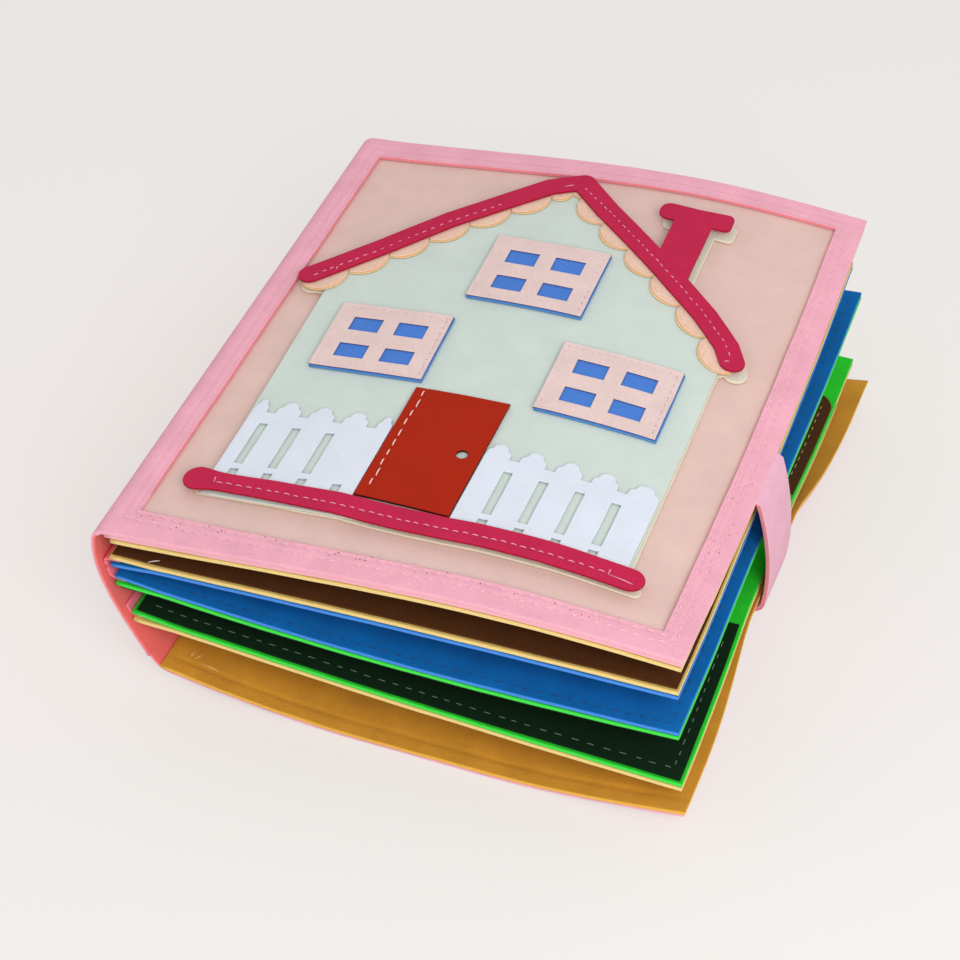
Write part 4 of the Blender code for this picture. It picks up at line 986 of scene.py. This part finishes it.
def build_covers():
    """Pink outer felt in two sheets, the frame's seams, panel and linings."""
    upper = bend_ends(*(cover_point(0.0, end) - HALF_UP for end in (0.0, HEIGHT)), (1, 0, 0.9), 0.004)
    lower = bend_ends(*(back_point(0.0, end) + HALF_UP for end in (0.0, HEIGHT)), (-0.8, 0, 1), 0.0035)
    inner_seam, outer_seam = (ring(OPENING, distance) for distance in FRAME_SEAMS)
    seen = len(FRONT_BORDER) + 1
    grooves = [(inner_seam, 0.0002, 0.0007), (outer_seam, 0.0002, 0.0006)]
    felt("cover_and_spine", FRONT_SHEET, [rectangle(-SPINE_WIDTH + BACK_LAP, 0, WIDTH, HEIGHT), OPENING],
         ACROSS_FELT, "pink", None, nodes=("front_cover_frame", "spine_panel"), grooves=grooves, cell=CLOSE_CELL,
         held="folded", fine_a=((-0.006, 0.0105), (OPENING_RIGHT, WIDTH - 0.002)),
         fine_b=((0.006, 0.0128), (HEIGHT - 0.0105, HEIGHT - 0.001)),
         bridge=("spine", "front_cover", *upper), edge=frame_painted_shade)
    # Painted shade: the back sheet's inner face at the fold and the spine's foot takes the pink felt's salmon rim
    # colour
    felt("back_cover_sheet", BACK_SHEET, [rectangle(0.0007 - BACK_WIDTH, 0.0007, BACK_LAP + 0.003, HEIGHT)],
         [level * 0.85 for level in ACROSS_FELT], "pink", None, nodes=("back_cover_outer",), held="folded",
         fine_a=((-0.006, 0.006),), bridge=("back_cover", "spine", *lower),
         edge=lambda a, b, wall, height: np.where((a > -0.006) & (height < 0), 1, 0))
    on_front("picture_panel", [rectangle(0.003, 0.0004, WIDTH - 0.0004, HEIGHT - 0.0004)], PANEL, "peach",
             "front_cover_panel", cell=WIDE_CELL)
    on_front("cover_lining", [rectangle(0.005, 0.0003, WIDTH - 0.0007, HEIGHT)], LINING, "yellow",
             "front_cover_lining", cell=WIDE_CELL)
    seam = rectangle(0.004, 0.0055, BACK_WIDTH - 0.0045, HEIGHT - 0.0055)
    felt("back_lining", BACK, [rectangle(0.001, 0, BACK_WIDTH, HEIGHT)], (FELT + GAP, GOLD_TOP), "gold",
         "back_cover", nodes=("back_cover_lining",), cell=WIDE_CELL, grooves=[(seam, 0.0003, 0.001)],
         fine_b=((0.003, 0.008),))
    sew("frame_stitches", "pink_thread", "front_cover", 0.00024, COVER, -0.00004,
        (inner_seam[:seen], outer_seam[:seen]), length=0.0022, gap=0.0018, wander=0.0003)
    # Dark ticks in the front border and beside the right border: painted shade in needle holes
    rng = random.Random(11)
    marks = [(rng.uniform(0.012, 0.16), 0.0126 - rng.uniform(0.0028, 0.0062)) for _ in range(26)]
    marks += [(OPENING_RIGHT + rng.uniform(0.002, 0.006), rng.uniform(0.03, 0.1)) for _ in range(7)]
    sew("frame_needle_marks", "dark_mark", "front_cover", 0.00016, COVER, 0,
        ticks=[(mark, np.add(mark, NEEDLE_HOLE_SHADE), 0.00001) for mark in marks])
    sew("lining_stitches", "gold_thread", "back_cover", 0.00022, BACK, 0, ticks=(
        ((0.008, 0.0075), (0.0085, 0.011), GOLD_TOP), ((0.0095, 0.0075), (0.0115, 0.0105), GOLD_TOP),
        ((0.0125, 0.0068), (0.0185, 0.0066), GOLD_TOP)))


class Binding(Bent):
    """Pink strip sewn along the spine beside a leaf's seat and turned in between the leaf's sheets."""

    def __init__(self, leaf, way):
        self.leaf, self.way, self.turn = leaf, way, BINDING_TURN

    def point(self, a, b):
        a, b = both(a, b)
        seat = SPINE_WIDTH * SEATS[self.leaf.index]
        depth = -(FELT / 2 + GAP + TAB_FELT / 2)
        strip = SPINE.place(seat - self.way * np.minimum(a, -self.turn), b, depth + 0 * a)
        corner = SPINE.place(seat + 0 * a, b, depth + 0 * a)
        sheet = self.leaf.point(np.maximum(a, self.turn), b)
        return folded(a, self.turn, strip, sheet, corner)


def build_leaves():
    """Leaves of two sheets, their bindings and the panels sewn on them."""
    colours = (("yellow", "leaf_blue"), ("leaf_blue", "green"), ("green", "yellow"))
    turned = {"cell": WIDE_CELL, "fine_a": ((0.008, 0.012), (0.02, 0.024))}
    for leaf, (above, below), way in zip(LEAVES, colours, (-1, 1, 1)):
        name = leaf.name
        seam = rectangle(SEAM_INSET, LEAF_FRONT + SEAM_INSET, leaf.width - SEAM_INSET, LEAF_BACK - SEAM_INSET)
        outline = [rectangle(0.0008, LEAF_FRONT, leaf.width, LEAF_BACK)]
        felt(f"{name}_front_sheet", leaf, outline, CLOSED, above, name, nodes=(f"{name}_front",),
             side=leaf.spread, grooves=[(seam, 0.0002, 0.0009)], **turned)
        felt(f"{name}_back_sheet", leaf, outline, (-CLOSED[1], -CLOSED[0]), below, name, nodes=(f"{name}_back",),
             side=leaf.spread_below, **turned)
        ends = [leaf_axis(SEATS[leaf.index], end) - ORIGIN for end in (0.0, HEIGHT)]
        bend = bend_ends(*ends, (1, 0, 0), BINDING_TURN)
        felt(f"{name}_binding_sheet", Binding(leaf, way),
             [rectangle(-BINDING_WIDTH, LEAF_FRONT + 0.0008, TAB, LEAF_BACK - 0.0008)], (-TAB_FELT / 2, TAB_FELT / 2),
             "binding", None, nodes=(f"{name}_binding", f"binding_strip_{leaf.index + 1}"), cell=WIDE_CELL,
             fine_a=((-0.003, 0.003),), bridge=("spine", name, *bend), held="folded")
    first, second, third = LEAVES
    front, dark_top = LEAF_FRONT + PANEL_INSET, LEAF_FRONT + 0.0652
    left, right, back = third.width * 0.5, third.width - 0.0004, HEIGHT - 0.026
    patch_front, corner = HEIGHT * 0.6, 0.008
    patch = [(left, back), (left, patch_front), (right, patch_front)]
    patch += arc((right - corner, back - corner), corner, 0, math.pi / 2, 8)
    for name, leaf, outline, colour, node, under in (
            ("brown_panel", first, rectangle(0.0018, front, first.width - PANEL_INSET, LEAF_BACK - PANEL_INSET),
             "brown", "leaf_1_brown_panel", False),
            ("under_panel", second, rectangle(0.0018, front, second.width - 0.0012, dark_top), "dark_green",
             "leaf_2_dark_panel", True),
            ("dark_panel", third, rectangle(0.0024, front, third.width - 0.0008, dark_top), "dark_green",
             "leaf_3_dark_panel", False),
            ("brown_patch", third, patch, "brown", "leaf_3_brown_patch", False)):
        felt(name, leaf, [outline], (-ON_LEAF[1], -ON_LEAF[0]) if under else ON_LEAF, colour, leaf.name,
             nodes=(node,), side=leaf.spread_below if under else leaf.spread, cell=WIDE_CELL)
    for name, colour, leaf, level, path in (
            ("leaf_1_stitches", "grey_thread", first, ON_LEAF[1],
             [(first.width - 0.004, 0.03), (first.width - 0.004, LEAF_BACK - 0.03)]),
            ("leaf_2_stitches", "dark_blue_thread", second, CLOSED[1],
             [(0.006, 0.0045), (second.width - 0.0035, 0.0045), (second.width - 0.0035, LEAF_BACK - 0.0045)]),
            ("leaf_3_stitches", "grey_thread", third, ON_LEAF[1],
             [(0.006, 0.0058), (third.width - 0.004, 0.0058), (third.width - 0.004, 0.062)]),
            ("patch_stitches", "green_thread", third, ON_LEAF[1],
             [(left + 0.002, patch_front + 0.003), (right - 0.0035, patch_front + 0.003),
              (right - 0.0035, back - 0.006)])):
        sew(name, colour, leaf.name, 0.00016, leaf, level - 0.00006, [path], length=0.003, gap=0.0016,
            side=leaf.spread)
    cord = Thread("leaf_3_edge_cord", "green_thread", "leaf_3", 0.0005)
    cord.stitch(third, stitch_points([(third.width + 0.0002, HEIGHT * 0.55), (third.width + 0.0002, HEIGHT * 0.88)],
                                     0, HEIGHT * 0.33, 30), 0)
    cord.make()
    tail = Thread("leaf_1_thread_end", "white_thread", "leaf_1", 0.00018)
    tail_path = [(0.018, LEAF_FRONT + 0.0024), (0.0145, LEAF_FRONT + 0.0006)]
    tail.stitch(first, stitch_points(tail_path, 0, 0.0039, 8), ON_LEAF[1], first.spread)
    tail.make()


def build_house():
    """Appliquéd house: backing, wall, scalloped trim, roof, ground bar, windows, fences and door."""
    roof_top = with_chimney(bar_side(ROOF_PATH, ROOF_BAR / 2))
    roof_seam = bar_side(ROOF_PATH, -ROOF_BAR * 0.15)[:APEX] + ROOF_PATH[APEX:]
    ground_seam = bar_side(GROUND_PATH, -GROUND_BAR * 0.06)
    ground = knob(bar(GROUND_PATH, GROUND_BAR), GROUND_PATH[0], 0.06, -0.16)
    ground = knob(ground, GROUND_PATH[0], 0.008, 0.3)
    on = "front_cover"
    on_front("backing_sheet", [house_backing_outline()], BACKING, "cream", "house_backing")
    wall = [WALL_CORNERS[0], WALL_CORNERS[1], *ROOF_PATH[1:-2], *WALL_CORNERS[2:]]
    on_front("wall_sheet", [wall], WALL, "mint", "house_wall")
    split = mix(*TRIM, 0.45)
    felt("trim_rim", COVER, [trim_outline(0.0006)], (TRIM[0], split - HAIR), "amber", on, slot="apricot_felt",
         rounding=0.00012)
    on_front("scalloped_trim", [trim_outline(0)], (split, TRIM[1]), "apricot", "roof_trim", rounding=0.00016)
    on_front("roof_sheet", [bar(ROOF_PATH, ROOF_BAR, roof_top)], TOP, "crimson", "house_roof",
             cell=CLOSE_CELL, grooves=[(roof_seam, 0.0003, 0.0008)])
    on_front("ground_sheet", [ground], TOP, "crimson", "ground_bar", cell=DENSE_CELL,
             grooves=[(ground_seam, 0.00035, 0.0009)])
    half_width, half_height = WINDOW_WIDTH / 2, WINDOW_HEIGHT / 2
    border = rectangle(-half_width, -half_height, half_width, half_height)
    seam_x, seam_y = half_width - WINDOW_SEAM, half_height - WINDOW_SEAM
    panes = [rectangle(x - PANE[0], y - PANE[1], x + PANE[0], y + PANE[1])
             for x in (-0.0083, 0.0083) for y in (-0.0075, 0.0063)]
    split = TRIM[0] + 0.0009
    window_top = split + 0.0005
    for place in WINDOWS:
        seam = ring(about(place, rectangle(-seam_x, -seam_y, seam_x, seam_y)), 0)
        shown = [(x + 0.0003, y - 0.0003) for x, y in about(place, border)]
        on_front(f"window_{place}_backing", [shown], (TRIM[0], split - HAIR), "sky", f"window_backing_{place}",
                 rounding=0.00015)
        on_front(f"window_{place}_frame", [about(place, border)] + [about(place, pane) for pane in panes],
                 (split, window_top), "pale_pink", f"window_frame_{place}", rounding=0.00012,
                 grooves=[(seam, 0.00018, 0.0007)], cell=DENSE_CELL)
        sew(f"window_{place}_stitches", "pale_thread", on, 0.00013, COVER, window_top - 0.00012, [seam],
            length=0.0016, gap=0.0012)
        # Grey ticks beside the window's right seam: painted shade in needle holes
        marks = stitch_points(seam[1:3], 0.001, WINDOW_HEIGHT - 0.005, 9)
        sew(f"window_{place}_needle_marks", "grey_mark", on, 0.00014, COVER, 0,
            ticks=[(mark, mark + NEEDLE_HOLE_SHADE, split + 0.00051) for mark in marks])
    wall_left, wall_right = WALL_CORNERS[0].x, WIDTH * 0.8635
    door_right = DOOR_LEFT + DOOR_WIDTH
    left = fence_outlines(on_cover((0.1705, 0.1717)), 0.017, wall_left, DOOR_LEFT - GAP, 3)
    right = fence_outlines(on_cover((0.6165, 0.1625)), -0.03, door_right + GAP, wall_right, 4)
    for side, outlines in (("left", left), ("right", right)):
        on_front(f"{side}_fence", outlines, TRIM, "white", f"fence_{side}", cell=CLOSE_CELL)
    build_door()
    top, end, low = ROOF_PATH[APEX], ROOF_PATH[-1], roof_seam[0] + Vector((0.007, 0.005))
    arms = (roof_seam[:APEX - 1],
            [top + Vector((0.001, -0.003))] + ROOF_PATH[APEX + 1:-1] + [mix(ROOF_PATH[-2], end, 0.7)])
    run, straight = TOP[1] - 0.0002, TOP[1] - 0.0001
    sew("roof_stitches", "bar_thread", on, 0.0002, COVER, run, arms, (
        (top + Vector((-0.006, -0.004)), top + Vector((-0.0015, -0.0022)), straight),
        (end, end + Vector((-0.003, -0.0015)), straight),
        (low, low + Vector((0, 0.0024)), straight)), **BAR_STITCHES)
    first, last = ground_seam[0] + Vector((0.0058, 0)), ground_seam[-1] - Vector((0.0065, 0))
    middle = [point for point in ground_seam if first.x < point.x < last.x]
    sew("ground_stitches", "bar_thread", on, 0.0002, COVER, run, [[first] + middle + [last]], (
        (first, first + Vector((-0.0004, 0.0028)), straight),
        (last, last + Vector((0.0002, 0.0028)), straight),
        (last, ground_seam[-1] + Vector((0.004, -0.0018)), straight)), **BAR_STITCHES)
    runs = scallop_runs()
    cusps = [Vector(stitch_points(path, path_length(path) * i / count, 1, 1)[0]) + Vector((0.0001, 0.0003))
             for path, count in runs for i in range(1, math.ceil(count))]
    sew("trim_tacks", "dark_mark", on, 0.00022, COVER, 0,
        ticks=[(cusp, cusp + Vector((0.0006, -0.0004)), TRIM[1] - 0.00005) for cusp in cusps])
    sew("trim_stitches", "amber_thread", on, 0.00014, COVER, TRIM[1] - 0.00009,
        [scallops(path, count, 0, 0.0011) for path, count in runs], length=0.004, gap=0.0004, wander=0.00003)


def build_door():
    """Door of one piece, sewn down by its left border, its felt pressed and cut finely along the stitches."""
    right, top = DOOR_LEFT + DOOR_WIDTH, DOOR_BOTTOM + DOOR_HEIGHT
    foot = DOOR_BOTTOM + DOOR_SLANT * DOOR_WIDTH - 0.0006
    outline = [(DOOR_LEFT, DOOR_BOTTOM - 0.0004), (right, foot), (right, top), (DOOR_LEFT, top)]
    centre = (mix(DOOR_LEFT, right, 0.83) - 0.0007, DOOR_BOTTOM + DOOR_HEIGHT / 2 - 0.0007)
    # The hole's wall takes the red felt's dark rim colour: painted shade inside the knob hole
    hole = arc(centre, 0.0019, 0, 2 * math.pi, 24)[:-1]
    ends = [COVER.place(DOOR_FOLD, b, DOOR[1]) for b in (DOOR_BOTTOM, top)]
    bend = bend_ends(*ends, (1, 0, 0), 0.001)
    seam = [(DOOR_FOLD, DOOR_BOTTOM + 0.001), (DOOR_FOLD, top - 0.0005)]
    felt("door_sheet", COVER, [outline, hole], DOOR, "red", None, nodes=("door_hem", "door_flap"),
         fine_a=((DOOR_FOLD - 0.0018, DOOR_FOLD + 0.0018),), grooves=[(seam, 0.0003, 0.0006)],
         bridge=("front_cover", "door", *bend))
    hem = [(DOOR_FOLD - 0.0004, DOOR_BOTTOM + 0.004), (DOOR_FOLD - 0.0006, mix(DOOR_BOTTOM, top, 0.5)),
           (DOOR_FOLD - 0.0003, top - 0.0008)]
    sew("door_stitches", "door_thread", "front_cover", 0.00024, COVER, DOOR[1] - 0.00012, [hem], length=0.0036,
        gap=0.0012, wander=0.0003)


def build_strap():
    """Strap running on from the frame, with the hook and loop that hold it."""
    low, high, corner = STRAP_FRONT, STRAP_FRONT + STRAP_WIDTH, 0.005
    outline = [(STRAP_LINES[0], high), (STRAP_LINES[0], low)]
    for level, start in ((low + corner, -math.pi / 2), (high - corner, 0)):
        outline += arc((STRAP_LENGTH - corner, level), corner, start, start + math.pi / 2, 10)
    axis = STRAP_ROUTE[2]
    bend = bend_ends(axis - (0, 0.01, 0), axis + (0, 0.01, 0), (0.35, 0, -1), 0.002)
    felt("strap_sheet", STRAP, [outline], ACROSS_FELT, "strap", None, nodes=("closing_strap",), cell=DENSE_CELL,
         bridge=("front_cover", "strap", *bend), held="folded")
    inset = 0.003
    hook = rectangle(STRAP_LENGTH - STRAP_TAIL + inset, low + inset, STRAP_LENGTH - inset, high - inset)
    felt("hook_patch", STRAP, [hook], (-FELT / 2 - GAP - THIN, -FELT / 2 - GAP), "hook", "strap",
         nodes=("strap_hook_patch",), cell=PATCH_CELL, rounding=0.00015)
    start = BACK_WIDTH - STRAP_BEND - STRAP_TAIL + inset
    front = low + inset + STRAP_LEAN * (STRAP_LENGTH - STRAP_TAIL / 2)
    loop = rectangle(start, front, BACK_WIDTH - STRAP_BEND - inset, front + STRAP_WIDTH - inset * 2)
    felt("loop_patch", BACK, [loop], (-GAP - THIN, -GAP), "hook", "back_cover", nodes=("strap_loop_patch",),
         cell=PATCH_CELL, rounding=0.00015)


build_covers()
build_leaves()
build_house()
build_strap()

# Floor, whose shadow is softened for the camera only, and light
FLOOR_SIZE = 6
FLOOR_GLOW = 0.6
SKY_STRENGTH = 0.7
LAMP_SIZE = 0.5
LAMP_POWER = 4.4
LAMP_AT = (0.45, -0.6, 0.6)
LAMP_AIM = (0, 0, 0.05)

bpy.ops.mesh.primitive_grid_add(x_subdivisions=8, y_subdivisions=8, size=FLOOR_SIZE, location=(0, 0, -0.0001))
floor = bpy.context.object
floor.name = "floor"
floor_material = bpy.data.materials.new("pale_floor")
floor_material.use_nodes = True
floor_tree = floor_material.node_tree
floor_shader = floor_tree.nodes["Principled BSDF"]
floor_colour = linear(242, 238, 235)
floor_shader.inputs["Base Color"].default_value = floor_colour
floor_shader.inputs["Roughness"].default_value = 1
floor_shader.inputs["Specular IOR Level"].default_value = 0
plain = new_node(floor_tree, "ShaderNodeEmission", {"Color": floor_colour})
seen = new_node(floor_tree, "ShaderNodeLightPath").outputs["Is Camera Ray"]
share = new_node(floor_tree, "ShaderNodeMath", {0: seen, 1: FLOOR_GLOW}, operation="MULTIPLY")
softened = new_node(floor_tree, "ShaderNodeMixShader", {
    0: share.outputs[0], 1: floor_shader.outputs[0], 2: plain.outputs[0]})
floor_tree.links.new(softened.outputs[0], floor_tree.nodes["Material Output"].inputs[0])
floor.data.materials.append(floor_material)

world = bpy.data.worlds.new("soft_studio")
bpy.context.scene.world = world
world.use_nodes = True
sky = world.node_tree.nodes["Background"]
sky.inputs[0].default_value = (1, 0.99, 0.98, 1)
sky.inputs[1].default_value = SKY_STRENGTH

light = bpy.data.lights.new("front_softbox", "AREA")
light.shape = "DISK"
light.size = LAMP_SIZE
light.energy = LAMP_POWER
lamp = add_object("front_softbox", light)
lamp.location = LAMP_AT
lamp.rotation_euler = (Vector(LAMP_AIM) - lamp.location).to_track_quat("-Z", "Y").to_euler()

camera_data = bpy.data.cameras.new("camera")
camera_data.sensor_width = SENSOR
camera_data.lens = FOCAL_PIXELS * SENSOR / PICTURE_SIDE
camera = add_object("camera", camera_data)
camera.matrix_world = Matrix((*zip(CAMERA_RIGHT, CAMERA_UP, CAMERA_BACK, CAMERA_AT), (0, 0, 0, 1)))
bpy.context.scene.camera = camera
bpy.context.scene.view_settings.view_transform = "Standard"
